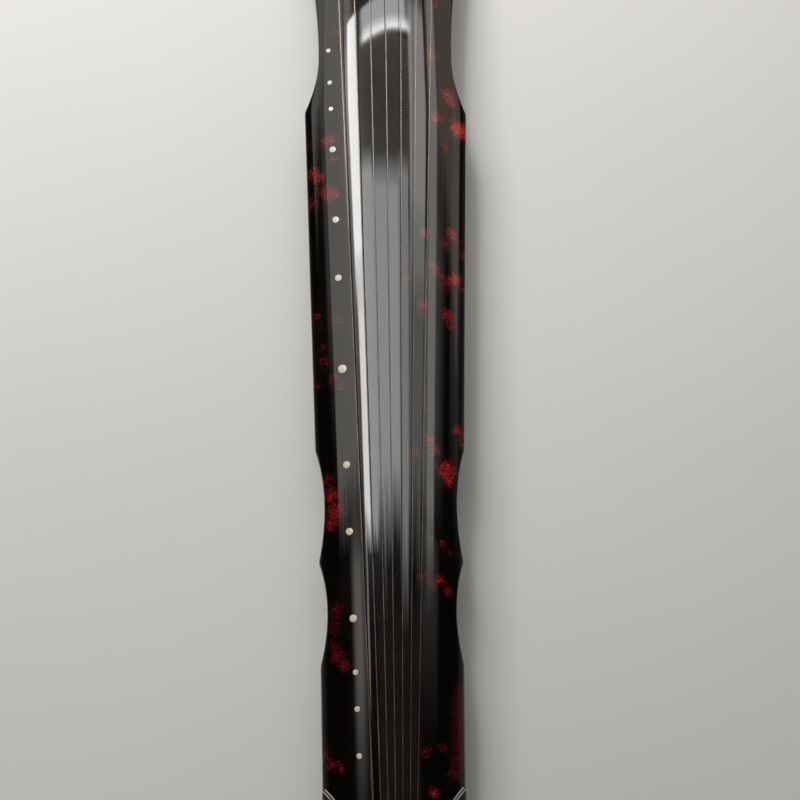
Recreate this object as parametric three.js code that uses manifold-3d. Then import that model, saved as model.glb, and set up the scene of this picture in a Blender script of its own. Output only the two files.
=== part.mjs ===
// Guqin, the seven-string zither, in the Fuxi style.
// Millimetres. +X runs to the head, +Y to the far side, which carries the row of markers, +Z is up.
// The origin is on the ground, at the middle of the outline.
import * as THREE from 'three';
import { mergeVertices } from 'three/addons/utils/BufferGeometryUtils.js';
import Module from 'manifold-3d';

const wasm = await Module();
wasm.setup();

// Driving dimensions

// Whole instrument
const totalLength = 1235;
const headLength = 82;
const tailLength = 23;
const bodyDepth = 55;
const bottomThickness = 11;
const footHeight = 42;
const fitGap = 0.3;
const cutOverrun = 2;

// Outline: full widths, and places as shares of the string length from the bridge
const headWidth = 197;
const headFlatWidth = 96;
const headEdgeFall = 3.5;
const headCornerRadius = 24;
const headCheekBulge = 1.6;
const neckWidth = 167;
const shoulderWidth = 200.8;
const waistStartWidth = 169.2;
const waistPeakWidth = 159.6;
const waistEndWidth = 154.4;
const upperWaistDepth = 8.3;
const lowerWaistDepth = 8.3;
const tailWidth = 145;
const tailCornerRadius = 16;
const flareShare = -0.0217;
const neckShare = 0.1332;
const neckCurlShare = 0.39;
const shoulderShare = 0.1969;
const waistStartShare = 0.581;
const waistPeakShare = 0.6942;
const waistEndShare = 0.7925;
const waistSkewShare = 0.46;

// Arch of the top: how far it falls to the ends and to the edges
const crownShare = 0.25;
const headFall = 13;
const tailFall = 5.5;
const archFall = 24;
const archRoundShare = 0.72;
const archShares = [-1, -0.93, -0.82, -0.67, -0.48, -0.25, 0, 0.25, 0.48, 0.67, 0.82, 0.93, 1];

// Sound box
const boardThickness = 18;
const sideWall = 13;
const headBlockLength = 28;
const tailBlockLength = 62;
const hollowShares = [-1, -0.8, -0.45, 0, 0.45, 0.8, 1];
const padThickness = 5;
const padMargin = 14;
const heavenPostShare = 0.222;
const heavenPostDiameter = 15;
const earthPostShare = 0.6;
const earthPostWidth = 14;

// Sound holes and their rims
const dragonPoolShare = 0.365;
const dragonPoolLength = 210;
const dragonPoolWidth = 27;
const phoenixShare = 0.815;
const phoenixPondLength = 105;
const phoenixPondWidth = 25;
const rimWidth = 3.5;
const rimProud = 0.6;

// Bridge and the strip of string holes
const bridgeThickness = 9;
const bridgeSpan = 172;
const bridgeRise = 17;
const bridgeArchShare = 0.92;
const bridgeEndFall = 9;
const bridgeRounding = 1.6;
const inletDepth = 4;
const stripWidth = 13;
const stripRise = 1.6;
const stringHoleOffset = 7.5;
const stringHoleDiameter = 4.4;

// Peg pool, peg plate and peg guards
const poolLength = 149;
const poolWidth = 30;
const poolDepth = 11.3;
const plateThickness = 5;
const plateWidth = 19;
const guardThickness = 14;
const guardWidth = 34;
const guardFootWidth = 24;
const guardInset = 2.5;
const guardRounding = 5;

// Tuning pegs and the cord wound on each
const pegGroundGap = 8;
const pegHeadDiameter = 14.4;
const pegHeadHeight = 3;
const pegNeckDiameter = 9.6;
const pegNeckHeight = 10.5;
const pegBodyDiameter = 15.6;
const pegTipDiameter = 10.4;
const pegChamfer = 2.2;
const pegBoreDiameter = 3;
const pegBoreDepth = 7.6;
const pegSideHoleDepth = 6.1;
const windingDiameter = 1.6;
const windingTurns = 2.25;
const windingSteps = 14;
const turnGap = 0.5;

// Strings, from the thickest on the far side to the thinnest
const stringDiameters = [1.47, 1.32, 1.17, 1.02, 0.88, 0.78, 0.7];
const bridgeSpacing = 20.4;
const tailSpacing = 6.3;
const knotRadius = 2.2;
const knotReach = 3.2;
const cordSides = 5;
const footTurns = 2.25;
const footSteps = 18;
const farFootStrings = 4;
const tuningCordDiameter = 1.3;
const tuningCordSpread = 1.7;

// Tail nut, lower tail nut and tail crowns
const tailNutSpan = 50;
const tailNutRise = 2.4;
const tailNutHeight = 11;
const tailNutSetback = 1.9;
const tailNutRounding = 6;
const lowerNutThickness = 6;
const lowerNutDrop = 2.5;
const lowerNutRounding = 4.5;
const crownLength = 129;
const crownDepth = 6;
const crownRise = 0.7;
const crownCurveShares = [0.27, 0.25];

// Goose feet and the blocks that hold their tenons
const footShare = 0.7;
const footSpread = 92;
const footSoleDiameter = 25;
const footFlareDiameter = 26.5;
const footNeckDiameter = 17;
const footCollarDiameter = 26;
const footCollarHeight = 5;
const footFlareHeight = 9;
const footSoleHeight = 2;
const tenonDiameter = 17.6;
const tenonLength = 18;
const blockWidth = 34;

// Markers: places as shares of the string length, and the line that they lie on
const headMarkerShares = [1 / 8, 1 / 6, 1 / 5, 1 / 4, 1 / 3, 2 / 5];
const markerShares = [...headMarkerShares, 1 / 2, ...headMarkerShares.map((share) => 1 - share).reverse()];
const markerLineHead = 77.2;
const markerLineTail = 30.8;
const markerEndDiameter = 5.8;
const markerMidDiameter = 8;
const markerCentreDiameter = 10;
const markerThickness = 1;
const markerProud = 0.1;

// Places worked out from them: the strings span what the head and the tail leave of the whole length

const stringLength = totalLength - headLength - tailLength;
const headEnd = totalLength / 2;
const tailEnd = -totalLength / 2;
const bridgeX = headEnd - headLength;
const bridgeHeadX = bridgeX + bridgeThickness;
const stripTailX = bridgeHeadX + fitGap;
const stripHeadX = stripTailX + stripWidth;
const stringHoleX = bridgeHeadX + stringHoleOffset;
const tailNutX = tailEnd + tailLength;
const tailFaceX = tailEnd + tailNutSetback;
const lowerNutX = tailFaceX + lowerNutThickness;
const underZ = footHeight;
const jointZ = underZ + bottomThickness;
const crownZ = underZ + bodyDepth;
const skyZ = crownZ + bodyDepth;
const plateZ = underZ + poolDepth;
const pegTopZ = plateZ - fitGap;
const lowerNutZ = underZ - lowerNutDrop;
const footX = along(footShare);

function along(share) {
  return bridgeX - share * stringLength;
}

function mix(a, b, share) {
  return a + (b - a) * share;
}

function point(x, y, z) {
  return new THREE.Vector3(x, y, z);
}

// Straight line through a table of [place, value] rows, in falling order of place
function readTable(rows, place) {
  let k = 1;
  while (k < rows.length - 1 && rows[k][0] > place) k += 1;
  const [placeA, valueA] = rows[k - 1];
  const [placeB, valueB] = rows[k];
  return mix(valueA, valueB, (place - placeA) / (placeB - placeA));
}

// Closed bodies

// Closed triangle mesh with its faces turned to point out
function closedGeometry(points, faces) {
  const edge = new THREE.Vector3();
  let volume = 0;
  for (const [a, b, c] of faces) volume += points[a].dot(edge.crossVectors(points[b], points[c]));
  const geometry = new THREE.BufferGeometry().setFromPoints(points);
  geometry.setIndex(faces.flatMap(([a, b, c]) => (volume < 0 ? [a, c, b] : [a, b, c])));
  geometry.computeVertexNormals();
  return geometry;
}

// The same body with its shared corners merged and its empty triangles dropped
function tidy(geometry) {
  const bare = geometry.clone();
  bare.deleteAttribute('normal');
  bare.deleteAttribute('uv');
  const merged = mergeVertices(bare);
  const place = merged.getAttribute('position');
  const points = [];
  for (let k = 0; k < place.count; k += 1) points.push(new THREE.Vector3().fromBufferAttribute(place, k));
  const faces = [];
  for (let k = 0; k < merged.index.count; k += 3) {
    const [a, b, c] = [merged.index.getX(k), merged.index.getX(k + 1), merged.index.getX(k + 2)];
    if (a !== b && b !== c && c !== a) faces.push([a, b, c]);
  }
  return closedGeometry(points, faces);
}

function solidOf(geometry) {
  const clean = tidy(geometry);
  return new wasm.Manifold(new wasm.Mesh({
    numProp: 3,
    vertProperties: new Float32Array(clean.getAttribute('position').array),
    triVerts: new Uint32Array(clean.index.array),
  }));
}

function geometryOf(solid) {
  const mesh = solid.asOriginal().getMesh();
  const geometry = new THREE.BufferGeometry();
  geometry.setAttribute('position', new THREE.BufferAttribute(new Float32Array(mesh.vertProperties), 3));
  geometry.setIndex(new THREE.BufferAttribute(new Uint32Array(mesh.triVerts), 1));
  geometry.computeVertexNormals();
  return geometry;
}

function cut(solid, cutters) {
  return cutters.reduce((rest, cutter) => rest.subtract(cutter), solid);
}

// Skin through rings of points, with a flat fan on the first and the last ring
function ringLoft(rings) {
  const size = rings[0].length;
  const faces = [];
  for (let r = 0; r < rings.length - 1; r += 1) {
    for (let k = 0; k < size; k += 1) {
      const a = r * size + k;
      const b = r * size + (k + 1) % size;
      faces.push([a, b, b + size], [a, b + size, a + size]);
    }
  }
  const last = (rings.length - 1) * size;
  for (let k = 1; k < size - 1; k += 1) faces.push([0, k + 1, k], [last, last + k, last + k + 1]);
  return closedGeometry(rings.flat(), faces);
}

function box(xs, ys, zs) {
  const size = [xs, ys, zs].map(([low, high]) => high - low);
  const middle = [xs, ys, zs].map(([low, high]) => mix(low, high, 1 / 2));
  return new THREE.BoxGeometry(...size).translate(...middle);
}

function rod(x, y, zLow, zHigh, diameter, sides) {
  return new THREE.CylinderGeometry(diameter / 2, diameter / 2, zHigh - zLow, sides)
    .rotateX(Math.PI / 2)
    .translate(x, y, mix(zLow, zHigh, 1 / 2));
}

// Solid turned about an upright axis from [radius, height] rows that start and end on the axis
function turned(profile, segments) {
  return tidy(new THREE.LatheGeometry(profile.map(([r, z]) => new THREE.Vector2(r, z)), segments)
    .rotateX(Math.PI / 2));
}

function plate(shape, zLow, zHigh, curveSegments) {
  return new THREE.ExtrudeGeometry(shape, { depth: zHigh - zLow, bevelEnabled: false, curveSegments })
    .translate(0, 0, zLow);
}

// Tube of one radius, or of one radius a point, along a line of points
function cord(points, radii, sides) {
  const radiusAt = (k) => (Array.isArray(radii) ? radii[k] : radii);
  const headings = points.map((at, k) => {
    const before = points[Math.max(k - 1, 0)];
    const after = points[Math.min(k + 1, points.length - 1)];
    const inward = at.clone().sub(before).normalize();
    const outward = after.clone().sub(at).normalize();
    return inward.add(outward).normalize();
  });
  const side = point(0, 0, 1);
  if (Math.abs(headings[0].z) > 1 / 2) side.set(0, 1, 0);
  const rings = points.map((at, k) => {
    side.addScaledVector(headings[k], -side.dot(headings[k])).normalize();
    const across = new THREE.Vector3().crossVectors(headings[k], side);
    return Array.from({ length: sides }, (_, j) => {
      const angle = 2 * Math.PI * j / sides;
      return at.clone()
        .addScaledVector(side, radiusAt(k) * Math.cos(angle))
        .addScaledVector(across, radiusAt(k) * Math.sin(angle));
    });
  });
  return ringLoft(rings);
}

// Least gap of a wound cord to itself, measured on its points, away from each point's own stretch
function leastGap(points, diameter) {
  const ownStretch = 4 * diameter;
  const run = [0];
  for (let k = 1; k < points.length; k += 1) run.push(run[k - 1] + points[k].distanceTo(points[k - 1]));
  let least = Infinity;
  points.forEach((a, j) => points.forEach((b, k) => {
    if (run[k] - run[j] > ownStretch) least = Math.min(least, a.distanceTo(b) - diameter);
  }));
  return least;
}

// Outline and arch

const neckX = along(neckShare);
const flareX = along(flareShare);
const shoulderX = along(shoulderShare);
const waistStartX = along(waistStartShare);
const waistPeakX = along(waistPeakShare);
const waistEndX = along(waistEndShare);

// Half of the outline, from the head's flat end to the tail's, as points (x, half width)
function makeSideLine() {
  const at = (x, width) => new THREE.Vector2(x, width / 2);
  const cornerX = headEnd - headEdgeFall;
  const cheekX = cornerX - headCornerRadius;
  const tailTurnX = tailEnd + tailCornerRadius;
  const corners = {
    headFlat: at(headEnd, headFlatWidth),
    headCorner: at(cornerX, headWidth - 2 * headCornerRadius),
    cheek: at(cheekX, headWidth),
    flare: at(flareX, headWidth),
    neck: at(neckX, neckWidth),
    shoulder: at(shoulderX, shoulderWidth),
    waistStart: at(waistStartX, waistStartWidth),
    waistPeak: at(waistPeakX, waistPeakWidth),
    waistEnd: at(waistEndX, waistEndWidth),
    tailTurn: at(tailTurnX, tailWidth),
    tailFlat: at(tailEnd, tailWidth - 2 * tailCornerRadius),
  };
  const sag = (from, to, depth) => at(
    mix(from.x, to.x, waistSkewShare),
    2 * (mix(from.y, to.y, waistSkewShare) - 2 * depth),
  );
  // Each stretch: where it ends, how many steps it takes, and its control point where it is round
  const stretches = [
    ['headCorner', 1],
    ['cheek', 4, at(cornerX, headWidth)],
    ['flare', 2, at(mix(cheekX, flareX, 1 / 2), headWidth + 2 * headCheekBulge)],
    ['neck', 5, at(mix(neckX, flareX, neckCurlShare), neckWidth)],
    ['shoulder', 5, at(mix(neckX, shoulderX, 1 / 2), neckWidth)],
    ['waistStart', 4],
    ['waistPeak', 6, sag(corners.waistStart, corners.waistPeak, upperWaistDepth)],
    ['waistEnd', 6, sag(corners.waistPeak, corners.waistEnd, lowerWaistDepth)],
    ['tailTurn', 3],
    ['tailFlat', 4, at(tailEnd, tailWidth)],
  ];
  const line = [corners.headFlat];
  for (const [name, steps, control] of stretches) {
    const from = line[line.length - 1];
    const to = corners[name];
    const curve = control
      ? new THREE.QuadraticBezierCurve(from, control, to)
      : new THREE.LineCurve(from, to);
    line.push(...curve.getPoints(steps).slice(1));
  }
  return line;
}

const sideLine = makeSideLine();
const sideRows = sideLine.map((at) => [at.x, at.y]);

// Half widths that the arch is drawn on: the outline without its hollows
const archRows = [
  [headEnd, shoulderWidth / 2],
  [shoulderX, shoulderWidth / 2],
  [waistStartX, waistStartWidth / 2],
  [waistEndX, waistEndWidth / 2],
  [tailEnd, tailWidth / 2],
];

function halfWidth(x) {
  return readTable(sideRows, x);
}

function crown(x) {
  const peak = along(crownShare);
  const [fall, span] = x > peak ? [headFall, headEnd - peak] : [tailFall, peak - tailEnd];
  return crownZ - fall * ((x - peak) / span) ** 2;
}

function edgeFall(x, y) {
  const t = y / readTable(archRows, x);
  return archFall * (archRoundShare * t ** 2 + (1 - archRoundShare) * t ** 6);
}

function surface(x, y) {
  return crown(x) - edgeFall(x, y);
}

// Direction that the surface faces
function surfaceNormal(x, y) {
  const step = fitGap;
  const slopeX = (surface(x + step, y) - surface(x - step, y)) / (2 * step);
  const slopeY = (surface(x, y + step) - surface(x, y - step)) / (2 * step);
  return new THREE.Vector3(-slopeX, -slopeY, 1).normalize();
}

// Body with an arched top over stations of { x, half }
function archLoft(stations, zLow, topOf, shares = archShares) {
  return ringLoft(stations.map(({ x, half }) => [
    point(x, -half, zLow),
    ...shares.map((share) => point(x, share * half, topOf(x, share * half))),
    point(x, half, zLow),
  ]));
}

function stationsBetween(xHigh, xLow, inset) {
  const inside = sideLine.filter((at) => at.x < xHigh - fitGap && at.x > xLow + fitGap);
  const places = [xHigh, ...inside.map((at) => at.x), xLow];
  return places.map((x) => ({ x, half: halfWidth(x) - inset }));
}

// Strip across the body, the same width all the way, between two heights that may follow the arch
function crossStrip([tailX, headX], span, lowOf, highOf) {
  return ringLoft(archShares.map((share) => {
    const y = share * span / 2;
    return [
      point(tailX, y, lowOf(tailX, y)),
      point(headX, y, lowOf(headX, y)),
      point(headX, y, highOf(headX, y)),
      point(tailX, y, highOf(tailX, y)),
    ];
  }));
}

// Board of one thickness with the body's outline
function outlineBoard(zLow, zHigh) {
  return ringLoft(sideLine.map(({ x, y }) => [
    point(x, -y, zLow),
    point(x, -y, zHigh),
    point(x, y, zHigh),
    point(x, y, zLow),
  ]));
}

function longSlot(length, width) {
  const half = (length - width) / 2;
  const slot = new THREE.Shape();
  slot.absarc(half, 0, width / 2, -Math.PI / 2, Math.PI / 2);
  slot.absarc(-half, 0, width / 2, Math.PI / 2, 3 * Math.PI / 2);
  return slot;
}

// Sound holes in the bottom board, and the pads over them

const slotSegments = 7;
const soundHoles = [
  { name: 'dragon_pool_rim', x: along(dragonPoolShare), length: dragonPoolLength, width: dragonPoolWidth },
  { name: 'phoenix_pond_rim', x: along(phoenixShare), length: phoenixPondLength, width: phoenixPondWidth },
];

function slotSolid(hole, inset, zLow, zHigh) {
  const slot = longSlot(hole.length - 2 * inset, hole.width - 2 * inset);
  return solidOf(plate(slot, zLow, zHigh, slotSegments).translate(hole.x, 0, 0));
}

function rimGeometry(hole) {
  const rim = slotSolid(hole, fitGap, underZ - rimProud, jointZ - fitGap);
  return geometryOf(rim.subtract(slotSolid(hole, fitGap + rimWidth, 0, crownZ)));
}

// Sound box

const hollowHeadX = bridgeX - headBlockLength;
const hollowTailX = tailNutX + tailBlockLength;

function ceiling(x, y) {
  return surface(x, y) - boardThickness;
}

function hollowLoft(drop, inset) {
  const stations = stationsBetween(hollowHeadX, hollowTailX, sideWall + inset);
  return solidOf(archLoft(stations, jointZ - cutOverrun, (x, y) => ceiling(x, y) - drop, hollowShares));
}

function soundBox() {
  const underPads = hollowLoft(padThickness, -cutOverrun);
  const pads = soundHoles.map((hole) => slotSolid(hole, -padMargin, jointZ, crownZ).subtract(underPads));
  return cut(hollowLoft(0, 0), pads);
}

// What stands on the bottom board reaches up to just under the ceiling
function underCeiling(geometry) {
  return solidOf(geometry).intersect(hollowLoft(fitGap, fitGap));
}

function heavenPost() {
  return geometryOf(underCeiling(rod(along(heavenPostShare), 0, jointZ, crownZ, heavenPostDiameter, 16)));
}

function earthPost() {
  const x = along(earthPostShare);
  const half = earthPostWidth / 2;
  return geometryOf(underCeiling(box([x - half, x + half], [-half, half], [jointZ, crownZ])));
}

// Bridge and the strip of string holes

const stringOffsets = stringDiameters.map((_, k) => (stringDiameters.length - 1) / 2 - k);
const outerStringY = bridgeSpacing * stringOffsets[0];

function bridgeTop(y) {
  const past = Math.max(Math.abs(y) - outerStringY, 0) / (bridgeSpan / 2 - outerStringY);
  const arch = bridgeArchShare * edgeFall(bridgeX, y);
  return crown(bridgeX) + bridgeRise - arch - bridgeEndFall * past ** 2;
}

function bridgeGeometry() {
  return ringLoft(archShares.map((share) => {
    const y = share * bridgeSpan / 2;
    const high = bridgeTop(y);
    return [
      point(bridgeX, y, surface(bridgeX, y) - inletDepth),
      point(bridgeHeadX, y, surface(bridgeHeadX, y) - inletDepth),
      point(bridgeHeadX, y, high - bridgeRounding),
      point(bridgeHeadX - bridgeRounding, y, high),
      point(bridgeX + bridgeRounding, y, high),
      point(bridgeX, y, high - bridgeRounding),
    ];
  }));
}

function bridgeSeat() {
  const xs = [bridgeX - fitGap, stripHeadX + fitGap];
  const floorOf = (x, y) => surface(x, y) - inletDepth - fitGap;
  return solidOf(crossStrip(xs, bridgeSpan + 2 * fitGap, floorOf, () => skyZ));
}

function stringHoles() {
  return stringOffsets.map((offset) => solidOf(
    rod(stringHoleX, offset * bridgeSpacing, underZ, skyZ, stringHoleDiameter, 8),
  ));
}

function stripGeometry() {
  const low = (x, y) => surface(x, y) - inletDepth;
  const high = (x, y) => surface(x, y) + stripRise;
  return geometryOf(cut(solidOf(crossStrip([stripTailX, stripHeadX], bridgeSpan, low, high)), stringHoles()));
}

// Peg pool, plate and guards

function poolBox(width, zLow, zHigh, grow) {
  const halfWide = width / 2 + grow;
  const halfLong = poolLength / 2 + grow;
  return box([stringHoleX - halfWide, stringHoleX + halfWide], [-halfLong, halfLong], [zLow, zHigh]);
}

function plateGeometry() {
  return geometryOf(cut(solidOf(poolBox(plateWidth, plateZ, plateZ + plateThickness, 0)), stringHoles()));
}

function guardGeometry() {
  const half = guardWidth / 2;
  const foot = guardFootWidth / 2;
  const side = new THREE.Shape();
  side.moveTo(half, 0);
  side.quadraticCurveTo(half - guardInset, -footHeight / 2, foot + guardInset, -footHeight + guardRounding);
  side.quadraticCurveTo(foot + guardInset, -footHeight, foot - guardInset, -footHeight);
  side.lineTo(-foot + guardInset, -footHeight);
  side.quadraticCurveTo(-foot - guardInset, -footHeight, -foot - guardInset, -footHeight + guardRounding);
  side.quadraticCurveTo(-half + guardInset, -footHeight / 2, -half, 0);
  return new THREE.ExtrudeGeometry(side, { depth: guardThickness, bevelEnabled: false, curveSegments: 5 })
    .rotateX(Math.PI / 2)
    .translate(0, guardThickness / 2, 0);
}

// Tuning pegs, modelled with the middle of the top at the origin

function pegGeometry() {
  const length = pegTopZ - pegGroundGap;
  const neckZ = -pegHeadHeight - pegNeckHeight;
  const profile = [
    [0, 0],
    [pegHeadDiameter / 2, 0],
    [pegHeadDiameter / 2, -pegHeadHeight],
    [pegNeckDiameter / 2, -pegHeadHeight],
    [pegNeckDiameter / 2, neckZ],
    [pegBodyDiameter / 2, neckZ - pegChamfer],
    [pegTipDiameter / 2, pegChamfer - length],
    [pegTipDiameter / 2 - pegChamfer, -length],
    [0, -length],
  ];
  const bore = rod(0, 0, -pegBoreDepth, cutOverrun, pegBoreDiameter, 8);
  const sideHole = new THREE.CylinderGeometry(pegBoreDiameter / 2, pegBoreDiameter / 2, pegNeckDiameter, 8)
    .rotateZ(Math.PI / 2)
    .translate(pegNeckDiameter / 2, 0, -pegSideHoleDepth);
  return geometryOf(cut(solidOf(turned(profile, 12)), [solidOf(bore), solidOf(sideHole)]));
}

// Down the bore, out of the side hole and round the neck, in the peg's own frame
function windingRoute() {
  const pitch = windingDiameter + turnGap;
  const radius = pegNeckDiameter / 2 + fitGap + windingDiameter;
  const turnShares = [0.5, 0.75];
  const exitZ = -pegSideHoleDepth;
  const points = [
    point(0, 0, 0),
    point(0, 0, exitZ + windingDiameter),
    point(turnShares[0] * windingDiameter, 0, exitZ + (1 - turnShares[1]) * windingDiameter),
    point(pegNeckDiameter / 2, 0, exitZ),
  ];
  const start = Math.PI / 9;
  const count = Math.round(windingTurns * windingSteps);
  for (let k = 0; k <= count; k += 1) {
    const angle = start + 2 * Math.PI * k / windingSteps;
    points.push(point(radius * Math.cos(angle), radius * Math.sin(angle), exitZ - pitch * k / windingSteps));
  }
  return points;
}

// Strings

function tailNutTop(y) {
  return crown(tailNutX) + tailNutRise - edgeFall(tailNutX, y);
}

// Quarter turn of a string in the X-Z plane round a rounded edge, from one angle to the next
function edgeTurn(centreX, centreZ, radius, y, from) {
  const steps = 4;
  return Array.from({ length: steps + 1 }, (_, k) => {
    const angle = from + Math.PI / 2 * k / steps;
    return point(centreX + radius * Math.cos(angle), y, centreZ + radius * Math.sin(angle));
  });
}

// Where each string's winding starts on its foot, from the top of the neck down
function windingLevels() {
  const neckTopZ = underZ - fitGap - footCollarHeight;
  let level = neckTopZ;
  return stringDiameters.map((diameter, k) => {
    const pitch = diameter + turnGap;
    if (k === farFootStrings) level = neckTopZ;
    level -= pitch;
    const start = level;
    level -= footTurns * pitch;
    return start;
  });
}

const footLevels = windingLevels();

function stringRoute(k) {
  const diameter = stringDiameters[k];
  const lift = fitGap + diameter / 2;
  const headY = stringOffsets[k] * bridgeSpacing;
  const tailY = stringOffsets[k] * tailSpacing;
  const bridgeZ = bridgeTop(headY) + lift;
  const loopX = bridgeHeadX + fitGap + tuningCordDiameter / 2;
  const knotX = loopX + knotReach;
  const knotShares = [[1, 0.3], [0.7, 0.75], [0, 1], [-0.7, 0.75]];
  const points = knotShares.map(([share]) => point(knotX + share * knotRadius, headY, bridgeZ));
  const radii = knotShares.map(([, share]) => share * knotRadius);
  const upper = tailNutTop(tailY);
  points.push(point(knotX - knotRadius, headY, bridgeZ));
  points.push(point(bridgeX + bridgeRounding, headY, bridgeZ));
  points.push(point(tailNutX, tailY, upper + lift));
  const upperTurn = [tailFaceX + tailNutRounding, upper - tailNutRounding];
  points.push(...edgeTurn(...upperTurn, tailNutRounding + lift, tailY, Math.PI / 2));
  const lowerTurn = [tailFaceX + lowerNutRounding, lowerNutZ + lowerNutRounding];
  points.push(...edgeTurn(...lowerTurn, lowerNutRounding + lift, tailY, Math.PI));
  points.push(...footWinding(k, points[points.length - 1]));
  while (radii.length < points.length) radii.push(diameter / 2);
  return { points, radii, diameter };
}

// From the lower tail nut to the foot's neck, touching it on its inner side, and round it
function footWinding(k, from) {
  const side = k < farFootStrings ? 1 : -1;
  const diameter = stringDiameters[k];
  const radius = footNeckDiameter / 2 + fitGap + diameter;
  const dx = from.x - footX;
  const dy = side * from.y - footSpread / 2;
  const start = Math.atan2(dy, dx) + Math.acos(radius / Math.hypot(dx, dy));
  const count = Math.round(footTurns * footSteps);
  return Array.from({ length: count + 1 }, (_, j) => {
    const angle = start + 2 * Math.PI * j / footSteps;
    const y = side * (footSpread / 2 + radius * Math.sin(angle));
    const z = footLevels[k] - (diameter + turnGap) * j / footSteps;
    return point(footX + radius * Math.cos(angle), y, z);
  });
}

// Doubled cord: up through the string hole, over the string behind its knot, and down again
function tuningCordRoute(k) {
  const headY = stringOffsets[k] * bridgeSpacing;
  const cordRadius = tuningCordDiameter / 2;
  const loopX = bridgeHeadX + fitGap + cordRadius;
  const loopZ = bridgeTop(headY) + fitGap + stringDiameters[k] / 2;
  const loopRadius = stringDiameters[k] / 2 + fitGap + cordRadius;
  const stripZ = surface(stringHoleX, headY) + stripRise;
  const halfSpread = tuningCordSpread / 2;
  const leg = [
    point(stringHoleX, headY + halfSpread, plateZ),
    point(stringHoleX, headY + halfSpread, stripZ),
    point(loopX, headY + loopRadius, loopZ),
  ];
  const steps = 6;
  const loop = Array.from({ length: steps - 1 }, (_, j) => {
    const angle = Math.PI * (j + 1) / steps;
    return point(loopX, headY + loopRadius * Math.cos(angle), loopZ + loopRadius * Math.sin(angle));
  });
  const back = leg.map((at) => point(at.x, 2 * headY - at.y, at.z)).reverse();
  return [...leg, ...loop, ...back];
}

// Tail nut, lower tail nut and tail crowns

function tailNutGeometry() {
  const lowZ = crown(tailNutX) + tailNutRise - tailNutHeight;
  return ringLoft(archShares.map((share) => {
    const y = share * tailNutSpan / 2;
    const high = tailNutTop(y);
    const centre = [tailFaceX + tailNutRounding, high - tailNutRounding];
    return [
      point(tailFaceX, y, lowZ),
      point(tailNutX, y, lowZ),
      point(tailNutX, y, high),
      ...edgeTurn(...centre, tailNutRounding, y, Math.PI / 2),
    ];
  }));
}

function lowerNutGeometry() {
  const topZ = crown(tailNutX) + tailNutRise - tailNutHeight - fitGap;
  const half = tailNutSpan / 2;
  const centre = [tailFaceX + lowerNutRounding, lowerNutZ + lowerNutRounding];
  return ringLoft([-half, half].map((y) => [
    point(lowerNutX, y, topZ),
    point(tailFaceX, y, topZ),
    ...edgeTurn(...centre, lowerNutRounding, y, Math.PI),
    point(lowerNutX, y, lowerNutZ),
  ]));
}

// Room for both nuts, open at the tail end
function tailNutSeats() {
  const ys = [-tailNutSpan / 2 - fitGap, tailNutSpan / 2 + fitGap];
  const upperZ = crown(tailNutX) + tailNutRise - tailNutHeight - fitGap;
  return [
    solidOf(box([tailEnd - cutOverrun, tailNutX + fitGap], ys, [upperZ, skyZ])),
    solidOf(box([tailEnd - cutOverrun, lowerNutX + fitGap], ys, [lowerNutZ, upperZ + cutOverrun])),
  ];
}

// Plan of a crown: from the side of the body it sweeps in to the tail nut
function crownPlan(side, gap) {
  const startX = tailEnd + crownLength - gap;
  const innerY = tailNutSpan / 2 + 2 * fitGap + gap;
  const edgeY = halfWidth(startX) + gap;
  const outY = edgeY + cutOverrun;
  const controlX = mix(startX, tailEnd, crownCurveShares[0]);
  const controlY = mix(innerY, edgeY, crownCurveShares[1]);
  const plan = new THREE.Shape();
  plan.moveTo(startX, side * outY);
  plan.lineTo(startX, side * edgeY);
  plan.quadraticCurveTo(controlX, side * controlY, tailNutX, side * innerY);
  plan.lineTo(tailEnd - cutOverrun, side * innerY);
  plan.lineTo(tailEnd - cutOverrun, side * outY);
  return plan;
}

// Block over the tail whose top lies a given depth under the surface
function underSurface(depth) {
  const ends = [tailEnd + crownLength + cutOverrun, tailEnd - cutOverrun];
  const stations = [ends[0], mix(...ends, 1 / 2), ends[1]].map((x) => ({ x, half: shoulderWidth / 2 }));
  return solidOf(archLoft(stations, -cutOverrun, (x, y) => surface(x, y) - depth));
}

function crownGeometry(side) {
  const stations = stationsBetween(tailEnd + crownLength + cutOverrun, tailEnd, 0);
  const raised = solidOf(archLoft(stations, jointZ, (x, y) => surface(x, y) + crownRise));
  const plan = solidOf(plate(crownPlan(side, fitGap), jointZ, skyZ, 10));
  return geometryOf(plan.intersect(raised).subtract(underSurface(crownDepth)));
}

function crownSeat(side) {
  return solidOf(plate(crownPlan(side, 0), jointZ, skyZ, 10)).subtract(underSurface(crownDepth + fitGap));
}

// Goose feet, modelled with the middle of the sole at the origin

function footGeometry() {
  const sole = footSoleDiameter / 2;
  const flare = footFlareDiameter / 2;
  const neck = footNeckDiameter / 2;
  const collar = footCollarDiameter / 2;
  const topZ = footHeight - fitGap;
  return turned([
    [0, 0],
    [sole, 0],
    [flare, footSoleHeight],
    [mix(neck, flare, 0.7), mix(footSoleHeight, footFlareHeight, 0.65)],
    [neck, footFlareHeight + footSoleHeight],
    [neck, topZ - footCollarHeight],
    [collar, topZ - footCollarHeight + footSoleHeight],
    [collar, topZ],
    [tenonDiameter / 2, topZ],
    [tenonDiameter / 2, underZ + tenonLength],
    [0, underZ + tenonLength],
  ], 20);
}

function tenonHole(side, zHigh) {
  const diameter = tenonDiameter + 2 * fitGap;
  return rod(footX, side * footSpread / 2, underZ - cutOverrun, zHigh, diameter, 20);
}

function footBlock(side) {
  const y = side * footSpread / 2;
  const half = blockWidth / 2;
  const block = underCeiling(box([footX - half, footX + half], [y - half, y + half], [jointZ, crownZ]));
  return geometryOf(block.subtract(solidOf(tenonHole(side, crownZ))));
}

// Boards

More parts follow.
